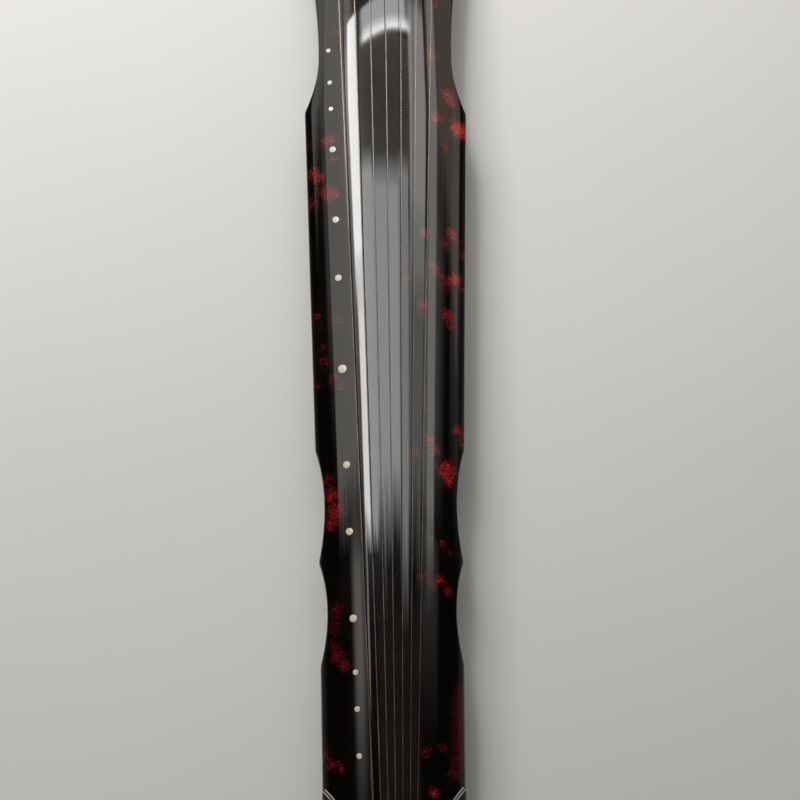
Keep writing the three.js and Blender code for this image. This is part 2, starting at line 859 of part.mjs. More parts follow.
function bottomBoard() {
  return geometryOf(cut(solidOf(outlineBoard(underZ, jointZ)), [
    ...soundHoles.map((hole) => slotSolid(hole, 0, 0, crownZ)),
    solidOf(poolBox(poolWidth, 0, crownZ, 0)),
    ...[1, -1].map((side) => solidOf(tenonHole(side, crownZ))),
    tailNutSeats()[1],
  ]));
}

function topBoard() {
  const outer = solidOf(archLoft(sideLine.map((at) => ({ x: at.x, half: at.y })), jointZ, surface));
  return geometryOf(cut(outer, [
    soundBox(),
    bridgeSeat(),
    ...stringHoles(),
    solidOf(poolBox(plateWidth, jointZ - cutOverrun, plateZ + plateThickness + fitGap, fitGap)),
    ...tailNutSeats(),
    crownSeat(1),
    crownSeat(-1),
    ...markerShares.map((_, k) => markerPocket(k)),
  ]));
}

// Markers: discs let into the surface, square to it

function markerDiameter(k) {
  const fromCentre = Math.abs(k - (markerShares.length - 1) / 2);
  if (fromCentre === 0) return markerCentreDiameter;
  return fromCentre <= 3 ? markerMidDiameter : markerEndDiameter;
}

function markerPlace(k) {
  const x = along(markerShares[k]);
  const y = mix(markerLineHead, markerLineTail, markerShares[k]);
  const normal = surfaceNormal(x, y);
  const centre = point(x, y, surface(x, y)).addScaledVector(normal, markerProud - markerThickness / 2);
  return { centre, turn: new THREE.Quaternion().setFromUnitVectors(point(0, 1, 0), normal) };
}

function markerPocket(k) {
  const { centre, turn } = markerPlace(k);
  const radius = markerDiameter(k) / 2 + fitGap;
  const depth = markerThickness / 2 + fitGap;
  const pocket = new THREE.CylinderGeometry(radius, radius, depth + markerThickness + cutOverrun, 12)
    .translate(0, (markerThickness + cutOverrun - depth) / 2, 0)
    .applyQuaternion(turn)
    .translate(centre.x, centre.y, centre.z);
  return solidOf(pocket);
}

// Finishes

function finish(color, roughness, metalness = 0) {
  return new THREE.MeshStandardMaterial({ color, roughness, metalness, flatShading: true });
}

const lacquer = finish(0x17110f, 0.12);
const rawWood = finish(0x9a7a52, 0.8);
const hardwood = finish(0x2b1a14, 0.35);
const shell = finish(0xd9d2c4, 0.3);
const stringFinish = finish(0x3b3231, 0.4, 0.3);
const cordFinish = finish(0x4d1613, 0.85);

// The instrument

const guqin = new THREE.Group();

function add(name, geometry, material) {
  const mesh = new THREE.Mesh(tidy(geometry), material);
  mesh.name = name;
  guqin.add(mesh);
  return mesh;
}

const sides = [['far', 1], ['near', -1]];
const pegY = stringOffsets.map((offset) => offset * bridgeSpacing);
const guardY = poolLength / 2 + fitGap + guardThickness / 2;

add('top_board', topBoard(), lacquer);
add('bottom_board', bottomBoard(), lacquer);
add('heaven_post', heavenPost(), rawWood);
add('earth_post', earthPost(), rawWood);
add('bridge', bridgeGeometry(), hardwood);
add('string_hole_strip', stripGeometry(), hardwood);
add('peg_plate', plateGeometry(), hardwood);
add('tail_nut', tailNutGeometry(), hardwood);
add('lower_tail_nut', lowerNutGeometry(), hardwood);
soundHoles.forEach((hole) => add(hole.name, rimGeometry(hole), hardwood));

for (const [label, side] of sides) {
  add(`tail_crown_${label}`, crownGeometry(side), hardwood);
  add(`foot_block_${label}`, footBlock(side), rawWood);
  add(`goose_foot_${label}`, footGeometry(), hardwood).position.set(footX, side * footSpread / 2, 0);
  add(`peg_guard_${label}`, guardGeometry(), hardwood).position.set(stringHoleX, side * guardY, underZ);
}

markerShares.forEach((_, k) => {
  const radius = markerDiameter(k) / 2;
  const disc = new THREE.CylinderGeometry(radius, radius, markerThickness, 12);
  const { centre, turn } = markerPlace(k);
  const marker = add(`hui_marker_${String(k + 1).padStart(2, '0')}`, disc, shell);
  marker.position.copy(centre);
  marker.quaternion.copy(turn);
});

const winding = windingRoute();
console.log(`peg winding, least gap to itself: ${leastGap(winding, windingDiameter).toFixed(2)} mm`);

stringDiameters.forEach((_, k) => {
  const route = stringRoute(k);
  const wound = route.points.slice(-Math.round(footTurns * footSteps) - 1);
  console.log(`string ${k + 1}, least gap to itself: ${leastGap(wound, route.diameter).toFixed(2)} mm`);
  add(`string_${k + 1}`, cord(route.points, route.radii, cordSides), stringFinish);
  add(`tuning_cord_${k + 1}`, cord(tuningCordRoute(k), tuningCordDiameter / 2, cordSides), cordFinish);
  add(`tuning_peg_${k + 1}`, pegGeometry(), hardwood).position.set(stringHoleX, pegY[k], pegTopZ);
  add(`peg_winding_${k + 1}`, cord(winding, windingDiameter / 2, cordSides), cordFinish)
    .position.set(stringHoleX, pegY[k], pegTopZ);
});

export default guqin;
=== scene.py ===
import math
import random

import bmesh
import bpy
import numpy as np
from mathutils import Matrix, Vector


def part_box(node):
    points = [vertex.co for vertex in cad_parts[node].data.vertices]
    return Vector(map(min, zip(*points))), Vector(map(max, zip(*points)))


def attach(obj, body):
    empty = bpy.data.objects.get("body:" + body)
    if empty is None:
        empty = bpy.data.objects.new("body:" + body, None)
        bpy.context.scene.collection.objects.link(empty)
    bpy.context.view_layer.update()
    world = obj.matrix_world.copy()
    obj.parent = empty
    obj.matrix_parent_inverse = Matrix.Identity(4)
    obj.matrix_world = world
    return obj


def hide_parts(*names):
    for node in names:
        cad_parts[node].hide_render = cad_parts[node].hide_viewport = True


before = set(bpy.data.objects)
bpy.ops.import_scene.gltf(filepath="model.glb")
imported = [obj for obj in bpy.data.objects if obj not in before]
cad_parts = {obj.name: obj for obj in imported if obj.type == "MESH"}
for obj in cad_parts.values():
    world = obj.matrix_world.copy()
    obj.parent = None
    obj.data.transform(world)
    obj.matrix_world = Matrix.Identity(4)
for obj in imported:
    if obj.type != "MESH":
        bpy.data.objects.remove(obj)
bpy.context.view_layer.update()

# Guqin, the seven-string zither, in the Fuxi style: black-brown lacquer with cinnabar mottling.
# Metres, +X to the head, +Y to the far side with the shell markers, +Z up, as in the frame.

scene = bpy.context.scene

# Camera

photoCamera = {
    "place": Vector((-0.4941, 0.0546, 1.3944)),
    "right": Vector((-0.01509, -0.99885, 0.04548)),
    "up": Vector((0.95034, -0.00019, 0.31122)),
    "lens": 54.64,  # mm, on a sensor 36 mm wide
    "sensor": 36.0,
    "pixels": 800,  # side of the photograph's square frame
    "rounds": 12,  # steps that bring a line of sight down to the arched top
}


def addCamera():
    data = bpy.data.cameras.new("photoCamera")
    data.lens = photoCamera["lens"]
    data.sensor_width = photoCamera["sensor"]
    camera = bpy.data.objects.new("photoCamera", data)
    scene.collection.objects.link(camera)
    back = photoCamera["right"].cross(photoCamera["up"])
    turn = Matrix((photoCamera["right"], photoCamera["up"], back)).transposed().to_4x4()
    camera.matrix_world = Matrix.Translation(photoCamera["place"]) @ turn
    scene.camera = camera


addCamera()
print("camera placed")

# Shape of the body

body = {
    "length": 1.235,
    "head": 0.082,  # head end to the bridge
    "tail": 0.023,  # crest of the tail nut to the tail end
    "depth": 0.055,
    "bottom": 0.011,
    "foot": 0.042,
    "crownShare": 0.25,
    "headFall": 0.013,
    "tailFall": 0.0055,
    "archFall": 0.024,
    "archRoundShare": 0.72,
    "fitGap": 0.0003,
}
headEnd = body["length"] / 2
tailEnd = -headEnd
bridgeX = headEnd - body["head"]
tailNutX = tailEnd + body["tail"]
stringLength = bridgeX - tailNutX
underZ = body["foot"]
jointZ = underZ + body["bottom"]
crownZ = underZ + body["depth"]
skyZ = crownZ + body["depth"]  # above every piece
fitGap = body["fitGap"]
sides = ((1, "far"), (-1, "near"))


def along(share):
    return bridgeX - share * stringLength


def mix(a, b, share):
    return a + (b - a) * share


def bend(start, control, end, steps):
    # points of a round stretch that heads for the control point first, without its start
    shares = [k / steps for k in range(1, steps + 1)]
    return [mix(mix(start, control, t), mix(control, end, t), t) for t in shares]


outline = {
    "headFlat": 0.048,  # half widths
    "head": 0.0985,
    "neck": 0.0835,
    "shoulder": 0.1004,
    "waistStart": 0.0846,
    "waistPeak": 0.0798,
    "waistEnd": 0.0772,
    "tail": 0.0725,
    "headEdgeFall": 0.0035,
    "headCorner": 0.024,
    "cheekBulge": 0.0016,
    "waistDepth": 0.0083,
    "tailCorner": 0.016,
    "flareX": along(-0.0217),
    "neckX": along(0.1332),
    "shoulderX": along(0.1969),
    "waistStartX": along(0.581),
    "waistPeakX": along(0.6942),
    "waistEndX": along(0.7925),
    "neckCurlShare": 0.39,
    "waistSkewShare": 0.46,
    "curveSteps": 16,
}


def makeSideLine():
    # one side of the outline, from the flat head end to the flat tail end
    def at(x, half):
        return Vector((x, half))

    def sag(start, end):
        return mix(start, end, outline["waistSkewShare"]) - at(0, 2 * outline["waistDepth"])

    head, tail, neckHalf = outline["head"], outline["tail"], outline["neck"]
    cornerX = headEnd - outline["headEdgeFall"]
    cheekX = cornerX - outline["headCorner"]
    flare = at(outline["flareX"], head)
    names = ("neck", "shoulder", "waistStart", "waistPeak", "waistEnd")
    neck, shoulder, *waist = (at(outline[name + "X"], outline[name]) for name in names)
    # control point of each stretch, or none before a corner, and its end
    stretches = [
        (at(cornerX, head), at(cheekX, head)),
        (at(mix(cheekX, flare.x, 0.5), head + outline["cheekBulge"]), flare),
        (at(mix(neck.x, flare.x, outline["neckCurlShare"]), neckHalf), neck),
        (at(mix(neck.x, shoulder.x, 0.5), neckHalf), shoulder),
        (None, waist[0]),
        (sag(waist[0], waist[1]), waist[1]),
        (sag(waist[1], waist[2]), waist[2]),
        (None, at(tailEnd + outline["tailCorner"], tail)),
        (at(tailEnd, tail), at(tailEnd, tail - outline["tailCorner"])),
    ]
    start = at(cornerX, head - outline["headCorner"])
    line = [at(headEnd, outline["headFlat"]), start]
    for control, end in stretches:
        line += bend(start, control, end, outline["curveSteps"]) if control else [end]
        start = end
    return line


sideLine = makeSideLine()
sideX = np.array([at.x for at in reversed(sideLine)])
sideY = np.array([at.y for at in reversed(sideLine)])
archX = [tailEnd, outline["waistEndX"], outline["waistStartX"], outline["shoulderX"], headEnd]
archY = [outline[name] for name in ("tail", "waistEnd", "waistStart", "shoulder", "shoulder")]


def halfWidth(x):
    return np.interp(x, sideX, sideY)


def crown(x):
    peak = along(body["crownShare"])
    headShare = (x - peak) / (headEnd - peak)
    tailShare = (x - peak) / (peak - tailEnd)
    return crownZ - np.where(x > peak, body["headFall"] * headShare**2, body["tailFall"] * tailShare**2)


def edgeFall(x, y):
    t = y / np.interp(x, archX, archY)
    share = body["archRoundShare"]
    return body["archFall"] * (share * t**2 + (1 - share) * t**6)


def surface(x, y):
    return crown(x) - edgeFall(x, y)


def topZ(x, y):
    return float(surface(x, y))


def surfaceNormal(x, y):
    slopeX = (surface(x + fitGap, y) - surface(x - fitGap, y)) / (2 * fitGap)
    slopeY = (surface(x, y + fitGap) - surface(x, y - fitGap)) / (2 * fitGap)
    return Vector((-slopeX, -slopeY, 1)).normalized()


def photoPlace(column, row):
    # where the line of sight through a pixel of the photograph meets the top
    focal = photoCamera["lens"] / photoCamera["sensor"] * photoCamera["pixels"]
    middle = photoCamera["pixels"] / 2
    ahead = photoCamera["up"].cross(photoCamera["right"])
    across = photoCamera["right"] * (column - middle) / focal
    sight = ahead + across - photoCamera["up"] * (row - middle) / focal
    place = photoCamera["place"] + sight * (crownZ - photoCamera["place"].z) / sight.z
    for _ in range(photoCamera["rounds"]):
        place = place + sight * (topZ(place.x, place.y) - place.z) / sight.z
    return place


# Materials

def startFinish(name, color, roughness, uniform=None):
    finish = bpy.data.materials.new(name)
    finish.use_nodes = True
    shader = finish.node_tree.nodes["Principled BSDF"]
    shader.inputs["Base Color"].default_value = (*color, 1)
    shader.inputs["Roughness"].default_value = roughness
    for socket, value in (uniform or {}).items():
        shader.inputs[socket].default_value = value
    return finish, finish.node_tree, shader


def addNode(tree, kind, inputs=None, **settings):
    node = tree.nodes.new("ShaderNode" + kind)
    for name, value in settings.items():
        setattr(node, name, value)
    for name, value in (inputs or {}).items():
        if isinstance(value, bpy.types.NodeSocket):
            tree.links.new(value, node.inputs[name])
        else:
            node.inputs[name].default_value = value
    return node


def objectPlace(tree, scale=(1, 1, 1)):
    coordinates = addNode(tree, "TexCoord")
    inputs = {"Vector": coordinates.outputs["Object"], "Scale": scale}
    return addNode(tree, "Mapping", inputs).outputs["Vector"]


def noise(tree, place, scale, detail=2.0, roughness=0.5, output="Fac"):
    inputs = {"Vector": place, "Scale": scale, "Detail": detail, "Roughness": roughness}
    return addNode(tree, "TexNoise", inputs).outputs[output]


def grain(tree, scale, detail=3.0, roughness=0.5):
    # noise of its own scale along each axis, in cells in a metre
    return noise(tree, objectPlace(tree, scale), 1.0, detail, roughness)


def calc(tree, operation, a, b=0.0):
    return addNode(tree, "Math", {0: a, 1: b}, operation=operation).outputs[0]


def plus(tree, a, b):
    return calc(tree, "ADD", a, b)


def times(tree, a, b):
    return calc(tree, "MULTIPLY", a, b)


def between(tree, value, low, high, toLow=0.0, toHigh=1.0):
    inputs = {"Value": value, "From Min": low, "From Max": high, "To Min": toLow, "To Max": toHigh}
    return addNode(tree, "MapRange", inputs).outputs["Result"]


def axesOf(tree, place):
    return addNode(tree, "SeparateXYZ", {"Vector": place}).outputs


def ramp(tree, factor, *stops):
    node = addNode(tree, "ValToRGB", {"Fac": factor})
    band = node.color_ramp
    for element, (position, color) in zip(band.elements, (stops[0], stops[-1])):
        element.position = position
        element.color = (*color, 1)
    for position, color in stops[1:-1]:
        band.elements.new(position).color = (*color, 1)
    return node.outputs["Color"]


def blendColor(tree, factor, a, b):
    colors = {6: a, 7: b}
    inputs = {index: (*color, 1) if isinstance(color, tuple) else color for index, color in colors.items()}
    return addNode(tree, "Mix", {0: factor, **inputs}, data_type="RGBA").outputs[2]


def paint(tree, shader, color, roughness=None):
    tree.links.new(color, shader.inputs["Base Color"])
    if roughness is not None:
        tree.links.new(roughness, shader.inputs["Roughness"])


def bump(tree, shader, height, distance, sockets=("Normal",)):
    node = addNode(tree, "Bump", {"Height": height, "Distance": distance, "Strength": 1.0})
    for socket in sockets:
        tree.links.new(node.outputs["Normal"], shader.inputs[socket])


lacquer = {
    "dark": (0.0006, 0.0004, 0.0003),
    "brown": (0.0036, 0.0018, 0.0013),
    "worn": (0.045, 0.022, 0.012),
    "maroon": (0.07, 0.002, 0.004),
    "crimson": (0.26, 0.007, 0.011),
    "scarlet": (0.62, 0.045, 0.018),
    "raggedScale": 230.0,  # cells in a metre, as in the next three
    "ruffleScale": 420.0,
    "flakeScale": 760.0,
    "dustScale": 1500.0,
    "ruffle": 0.0022,
    "haze": 0.56,  # share of dull red under the densest flakes
    "deepHaze": 1.3,  # the same where the tone is darkest
    "waveDepth": 0.00004,
    "polishDepth": 0.000004,
    "shine": {"IOR": 1.56, "Coat Weight": 1.0, "Coat Roughness": 0.035, "Coat IOR": 1.78,
              "Specular IOR Level": 0.12},
}


def flakes(tree, place, mask, scale, edge):
    cells = addNode(tree, "TexVoronoi", {"Vector": place, "Scale": scale})
    draw = addNode(tree, "SeparateColor", {"Color": cells.outputs["Color"]})
    chosen = between(tree, calc(tree, "SUBTRACT", mask, draw.outputs["Red"]), 0.0, 0.05)
    rounded = between(tree, cells.outputs["Distance"], edge, edge - 0.16)
    return times(tree, chosen, rounded), draw.outputs["Green"]


def ruffledPlace(tree, place):
    warp = noise(tree, place, lacquer["ruffleScale"], output="Color")
    shift = addNode(tree, "VectorMath", {0: warp, 1: (0.5, 0.5, 0.5)}, operation="SUBTRACT").outputs[0]
    small = addNode(tree, "VectorMath", {0: shift, "Scale": lacquer["ruffle"]}, operation="SCALE").outputs[0]
    return addNode(tree, "VectorMath", {0: place, 1: small}, operation="ADD").outputs[0]


def lacquerFinish():
    finish, tree, shader = startFinish("lacquer", lacquer["dark"], 0.2, lacquer["shine"])
    place = objectPlace(tree)
    names = ("cinnabar", "redTone", "wear")
    mask, tone, wear = (addNode(tree, "Attribute", attribute_name=name).outputs["Fac"] for name in names)
    # ragged clouds: the mask is broken by a fine noise before the flakes are drawn from it
    ragged = noise(tree, place, lacquer["raggedScale"], 3.0, 0.6)
    loose = between(tree, ragged, 0.36, 0.62, -0.42, 0.42)
    cloud = plus(tree, mask, times(tree, loose, calc(tree, "SQRT", mask)))
    # the darkest clouds lie deep in the lacquer: more of a glow, fewer flakes
    deep = between(tree, tone, 0.16, 0.0)
    cloud = times(tree, cloud, between(tree, deep, 0.0, 1.0, 1.0, 0.2))
    ruffled = ruffledPlace(tree, place)
    big, bigDraw = flakes(tree, ruffled, cloud, lacquer["flakeScale"], 0.62)
    halo = times(tree, calc(tree, "POWER", cloud, 0.7), 0.75)
    fine, _ = flakes(tree, ruffled, halo, lacquer["dustScale"], 0.6)
    red = calc(tree, "MAXIMUM", big, times(tree, fine, 0.8))
    shade = plus(tree, tone, between(tree, bigDraw, 0.0, 1.0, -0.22, 0.22))
    reds = zip((0.0, 0.5, 1.0), (lacquer["maroon"], lacquer["crimson"], lacquer["scarlet"]))
    redColor = ramp(tree, shade, *reds)
    ground = ramp(tree, noise(tree, place, 9.0, 4.0, 0.6), (0.3, lacquer["dark"]), (0.72, lacquer["brown"]))
    rub = between(tree, grain(tree, (60, 240, 240), 3.0, 0.6), 0.3, 0.7, -0.6, 0.35)
    rubbed = between(tree, plus(tree, wear, rub), 0.7, 1.0)
    base = blendColor(tree, rubbed, ground, lacquer["worn"])
    hazeShare = between(tree, deep, 0.0, 1.0, lacquer["haze"], lacquer["deepHaze"])
    haze = times(tree, between(tree, mask, 0.05, 1.0), hazeShare)
    color = blendColor(tree, red, blendColor(tree, haze, base, lacquer["maroon"]), redColor)
    paint(tree, shader, color, between(tree, noise(tree, place, 60.0, 3.0), 0.3, 0.7, 0.15, 0.27))
    # slow waves of the lacquer ground, and the long marks of polishing
    marks = times(tree, grain(tree, (9, 190, 190), 2.0), lacquer["polishDepth"] / lacquer["waveDepth"])
    height = plus(tree, grain(tree, (14, 26, 26), 1.0), marks)
    bump(tree, shader, height, lacquer["waveDepth"], ("Normal", "Coat Normal"))
    return finish


rawWood = {"pale": (0.42, 0.28, 0.15), "dark": (0.24, 0.14, 0.07), "rings": 21.0, "grainDepth": 0.00012}


def rawWoodFinish():
    finish, tree, shader = startFinish("rawWood", rawWood["pale"], 0.75)
    inputs = {"Vector": objectPlace(tree, (1, 1, 3)), "Scale": rawWood["rings"], "Distortion": 3.0,
              "Detail": 2.0, "Detail Scale": 1.2}
    bands = addNode(tree, "TexWave", inputs, bands_direction="Y").outputs["Fac"]
    drift = grain(tree, (3, 30, 30))
    pores = grain(tree, (120, 2200, 2200))
    factor = plus(tree, times(tree, bands, 0.45), times(tree, drift, 0.55))
    color = ramp(tree, factor, (0.2, rawWood["dark"]), (0.8, rawWood["pale"]))
    speck = times(tree, between(tree, pores, 0.58, 0.72), 0.5)
    paint(tree, shader, blendColor(tree, speck, color, rawWood["dark"]))
    bump(tree, shader, pores, rawWood["grainDepth"])
    return finish


hardwood = {
    "dark": (0.0085, 0.0038, 0.0028),
    "brown": (0.045, 0.018, 0.011),
    "pore": (0.004, 0.002, 0.0015),
    "grainDepth": 0.00003,
    "shine": {"Coat Weight": 0.35, "Coat Roughness": 0.12},
}


def hardwoodFinish(name, grainScale, streakScale):
    finish, tree, shader = startFinish(name, hardwood["dark"], 0.3, hardwood["shine"])
    streaks = grain(tree, streakScale, 4.0, 0.6)
    pores = grain(tree, grainScale)
    color = ramp(tree, streaks, (0.35, hardwood["dark"]), (0.7, hardwood["brown"]))
    fleck = blendColor(tree, between(tree, pores, 0.6, 0.7), color, hardwood["pore"])
    paint(tree, shader, fleck, between(tree, pores, 0.4, 0.7, 0.28, 0.5))
    bump(tree, shader, pores, hardwood["grainDepth"])
    return finish


shell = {
    "cream": (0.76, 0.68, 0.54),
    "white": (0.85, 0.83, 0.78),
    "gold": (0.66, 0.5, 0.3),
    "rose": (0.7, 0.55, 0.5),
    "tailwardX": (0.35, -0.1),  # whiter from the first to the head, darker and more golden from the second to the tail
    "grainDepth": 0.00002,
    "shine": {"Coat Weight": 0.6, "Coat Roughness": 0.05},
}


def shellFinish():
    finish, tree, shader = startFinish("shell", shell["cream"], 0.22, shell["shine"])
    place = objectPlace(tree)
    # the markers' colour runs from whiter at the head to darker and more golden at the tail
    tailward = between(tree, axesOf(tree, place)["X"], *shell["tailwardX"])
    growth = grain(tree, (260, 700, 260), 3.0, 0.55)
    layers = ramp(tree, growth, (0.3, shell["gold"]), (0.48, shell["cream"]), (0.7, shell["white"]))
    tint = between(tree, noise(tree, place, 38.0), 0.45, 0.7, 0.0, 0.45)
    headTone = blendColor(tree, 0.6, layers, shell["white"])
    tailTone = blendColor(tree, tint, blendColor(tree, 0.5, layers, shell["gold"]), shell["rose"])
    paint(tree, shader, blendColor(tree, tailward, headTone, tailTone))
    bump(tree, shader, growth, shell["grainDepth"])
    return finish


stringSkin = {
    "color": (0.18, 0.148, 0.13),
    "worn": (0.32, 0.265, 0.23),
    "paintedHighlight": (0.60, 0.51, 0.41),  # painted highlight: a lighter colour near the bridge, where the strings look brighter
    "paintedHighlightX": (along(0.36), along(0.23)),
    "ridges": 260.0,
    "ridgeDepth": 0.00001,
}


def stringFinish():
    finish, tree, shader = startFinish("stringSkin", stringSkin["color"], 0.3, {"Metallic": 0.8})
    drift = grain(tree, (30, 400, 400))
    color = ramp(tree, drift, (0.35, stringSkin["color"]), (0.7, stringSkin["worn"]))
    # painted highlight: the strings' colour is lightened towards the bridge
    paintedHighlight = between(tree, axesOf(tree, objectPlace(tree))["X"], *stringSkin["paintedHighlightX"])
    color = blendColor(tree, paintedHighlight, color, stringSkin["paintedHighlight"])
    paint(tree, shader, color, between(tree, drift, 0.3, 0.7, 0.24, 0.38))
    inputs = {"Vector": objectPlace(tree), "Scale": stringSkin["ridges"]}
    ridges = addNode(tree, "TexWave", inputs, bands_direction="X").outputs["Fac"]
    bump(tree, shader, ridges, stringSkin["ridgeDepth"])
    return finish


horn = {"pale": (0.42, 0.41, 0.39), "grey": (0.25, 0.245, 0.235), "grainDepth": 0.00001}


def hornFinish():
    finish, tree, shader = startFinish("horn", horn["pale"], 0.3)
    layers = grain(tree, (160, 600, 600))
    paint(tree, shader, ramp(tree, layers, (0.3, horn["grey"]), (0.7, horn["pale"])))
    bump(tree, shader, layers, horn["grainDepth"])
    return finish


silk = {
    "color": (0.12, 0.012, 0.012),
    "light": (0.26, 0.035, 0.03),
    "fibres": 3400.0,
    "fibreDepth": 0.00008,
    "sheen": {"Sheen Weight": 0.4, "Sheen Roughness": 0.4},
}


def silkFinish():
    finish, tree, shader = startFinish("silkCord", silk["color"], 0.62, silk["sheen"])
    fibres = noise(tree, objectPlace(tree), silk["fibres"])
    paint(tree, shader, ramp(tree, fibres, (0.35, silk["color"]), (0.7, silk["light"])))
    bump(tree, shader, fibres, silk["fibreDepth"])
    return finish


finishes = {
    "lacquered_board": lacquerFinish(),
    "raw_wood": rawWoodFinish(),
    "dark_hardwood": hardwoodFinish("darkHardwood", (18, 900, 900), (6, 130, 130)),
    "shell": shellFinish(),
    "string": stringFinish(),
    "silk_cord": silkFinish(),
}
turnedWood = hardwoodFinish("turnedHardwood", (900, 900, 18), (130, 130, 6))
paleHorn = hornFinish()
print("finishes made")

# Shared steps of making a piece

def meshOf(name, form):
    mesh = bpy.data.meshes.new(name)
    form.to_mesh(mesh)
    form.free()
    return mesh


def newObject(name, data):
    made = bpy.data.objects.new(name, data)
    scene.collection.objects.link(made)
    return made


def finishPiece(name, form, slotName, nodes=(), bodyName="root", sharpAngle=38, finish=None):
    mesh = meshOf(name, form) if isinstance(form, bmesh.types.BMesh) else form
    mesh.name = name
    mesh.shade_smooth()
    mesh.set_sharp_from_angle(angle=math.radians(sharpAngle))
    mesh.materials.clear()
    mesh.materials.append(finish or finishes[slotName])
    piece = newObject(name, mesh)
    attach(piece, bodyName)
    if nodes:
        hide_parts(*nodes)
    return piece


def carve(form, cutters, operation="DIFFERENCE"):
    # a copy of a closed form with the cutters taken out, or with what lies in them kept
    block = newObject("block", meshOf("block", form))
    tools = [newObject("tool", meshOf("tool", cutter)) for cutter in cutters]
    for tool in tools:
        step = block.modifiers.new("cut", "BOOLEAN")
        step.operation = operation
        step.solver = "MANIFOLD"
        step.object = tool
    carved = bmesh.new()
    carved.from_mesh(block.evaluated_get(bpy.context.evaluated_depsgraph_get()).data)
    for spare in [block, *tools]:
        mesh = spare.data
        bpy.data.objects.remove(spare)
        bpy.data.meshes.remove(mesh)
    return carved


def newParts(result, kind):
    return [part for part in result["geom"] if isinstance(part, kind)]


def move(form, way):
    bmesh.ops.translate(form, vec=way, verts=form.verts)


def rotate(form, turn):
    bmesh.ops.rotate(form, cent=(0, 0, 0), matrix=turn, verts=form.verts)


def closed(form):
    bmesh.ops.recalc_face_normals(form, faces=form.faces)
    return form


def lowest(edge):
    return min(vert.co.z for vert in edge.verts)


def highest(edge):
    return max(vert.co.z for vert in edge.verts)


def softenEdges(form, width, segments, angle=30, chosen=lambda edge: True):
    edges = [
        edge for edge in form.edges
        if len(edge.link_faces) == 2 and edge.calc_face_angle() > math.radians(angle) and chosen(edge)
    ]
    bmesh.ops.bevel(form, geom=edges, offset=width, segments=segments, profile=0.5, affect="EDGES",
                    material=-1, clamp_overlap=True)


def turnedForm(profile, steps):
    # solid turned about the Z axis from (radius, height) pairs that start and end on the axis
    form = bmesh.new()
    verts = [form.verts.new((radius, 0, z)) for radius, z in profile]
    edges = [form.edges.new(pair) for pair in zip(verts, verts[1:])]
    bmesh.ops.spin(form, geom=verts + edges, cent=(0, 0, 0), axis=(0, 0, 1), angle=2 * math.pi,
                   steps=steps, use_merge=True)
    bmesh.ops.remove_doubles(form, verts=form.verts, dist=1e-6)
    return closed(form)


def boxForm(low, high):
    form = bmesh.new()
    bmesh.ops.create_cube(form, size=1)
    bmesh.ops.scale(form, vec=Vector(high) - Vector(low), verts=form.verts)
    move(form, (Vector(high) + Vector(low)) / 2)
    return form


def discForm(radius, depth, segments):
    form = bmesh.new()
    bmesh.ops.create_cone(form, cap_ends=True, segments=segments, radius1=radius, radius2=radius, depth=depth)
    return form


def rodForm(x, y, lowZ, highZ, radius, segments=28):
    form = discForm(radius, highZ - lowZ, segments)
    move(form, (x, y, (lowZ + highZ) / 2))
    return form


def slotForm(x, length, width, lowZ, highZ, segments=48):
    # upright prism whose plan is a slot with round ends
    form = rodForm(0, 0, lowZ, highZ, width / 2, segments)
    rotate(form, Matrix.Rotation(math.pi / segments, 3, "Z"))
    half = (length - width) / 2
    for vert in form.verts:
        vert.co.x += x + math.copysign(half, vert.co.x)
    return form


def prismForm(plan, way):
    # a flat face, extruded one way
    form = bmesh.new()
    face = form.faces.new([form.verts.new(at) for at in plan])
    raised = bmesh.ops.extrude_face_region(form, geom=[face])
    bmesh.ops.translate(form, vec=way, verts=newParts(raised, bmesh.types.BMVert))
    return closed(form)


def sectionForm(ys, sectionAt):
    # one section, a list of (x, z), carried along Y by extruding it from each place to the next
    form = bmesh.new()
    face = form.faces.new([form.verts.new((x, ys[0], z)) for x, z in sectionAt(ys[0])])
    for y in ys[1:]:
        ended = [face] if y != ys[1] else []
        face = newParts(bmesh.ops.extrude_face_region(form, geom=[face]), bmesh.types.BMFace)[0]
        bmesh.ops.delete(form, geom=ended, context="FACES_ONLY")
        for vert, (x, z) in zip(face.verts, sectionAt(y)):
            vert.co = (x, y, z)
    return closed(form)


def slabForm(xs, ys, lowOf, highOf):
    # four-sided section between two places along X
    def section(y):
        return [(x, lowOf(x, y)) for x in xs] + [(x, highOf(x, y)) for x in reversed(xs)]

    return sectionForm(ys, section)


def gridForm(rows, columns, placeOf, lowOf, highOf):
    # sheet laid out by placeOf, extruded from one height to another
    form = bmesh.new()
    bmesh.ops.create_grid(form, x_segments=rows, y_segments=columns, size=0.5)
    for vert in form.verts:
        x, y = placeOf(0.5 - vert.co.x, 2 * vert.co.y)
        vert.co = (x, y, lowOf(x, y))
    raised = bmesh.ops.extrude_face_region(form, geom=form.faces[:])
    for vert in newParts(raised, bmesh.types.BMVert):
        vert.co.z = highOf(vert.co.x, vert.co.y)
    return closed(form)


def across(span, steps):
    return [mix(-span / 2, span / 2, k / steps) for k in range(steps + 1)]


def arcPoints(centre, radius, start, end, steps):
    angles = [mix(start, end, k / steps) for k in range(steps + 1)]
    return [(centre[0] + radius * math.cos(a), centre[1] + radius * math.sin(a)) for a in angles]


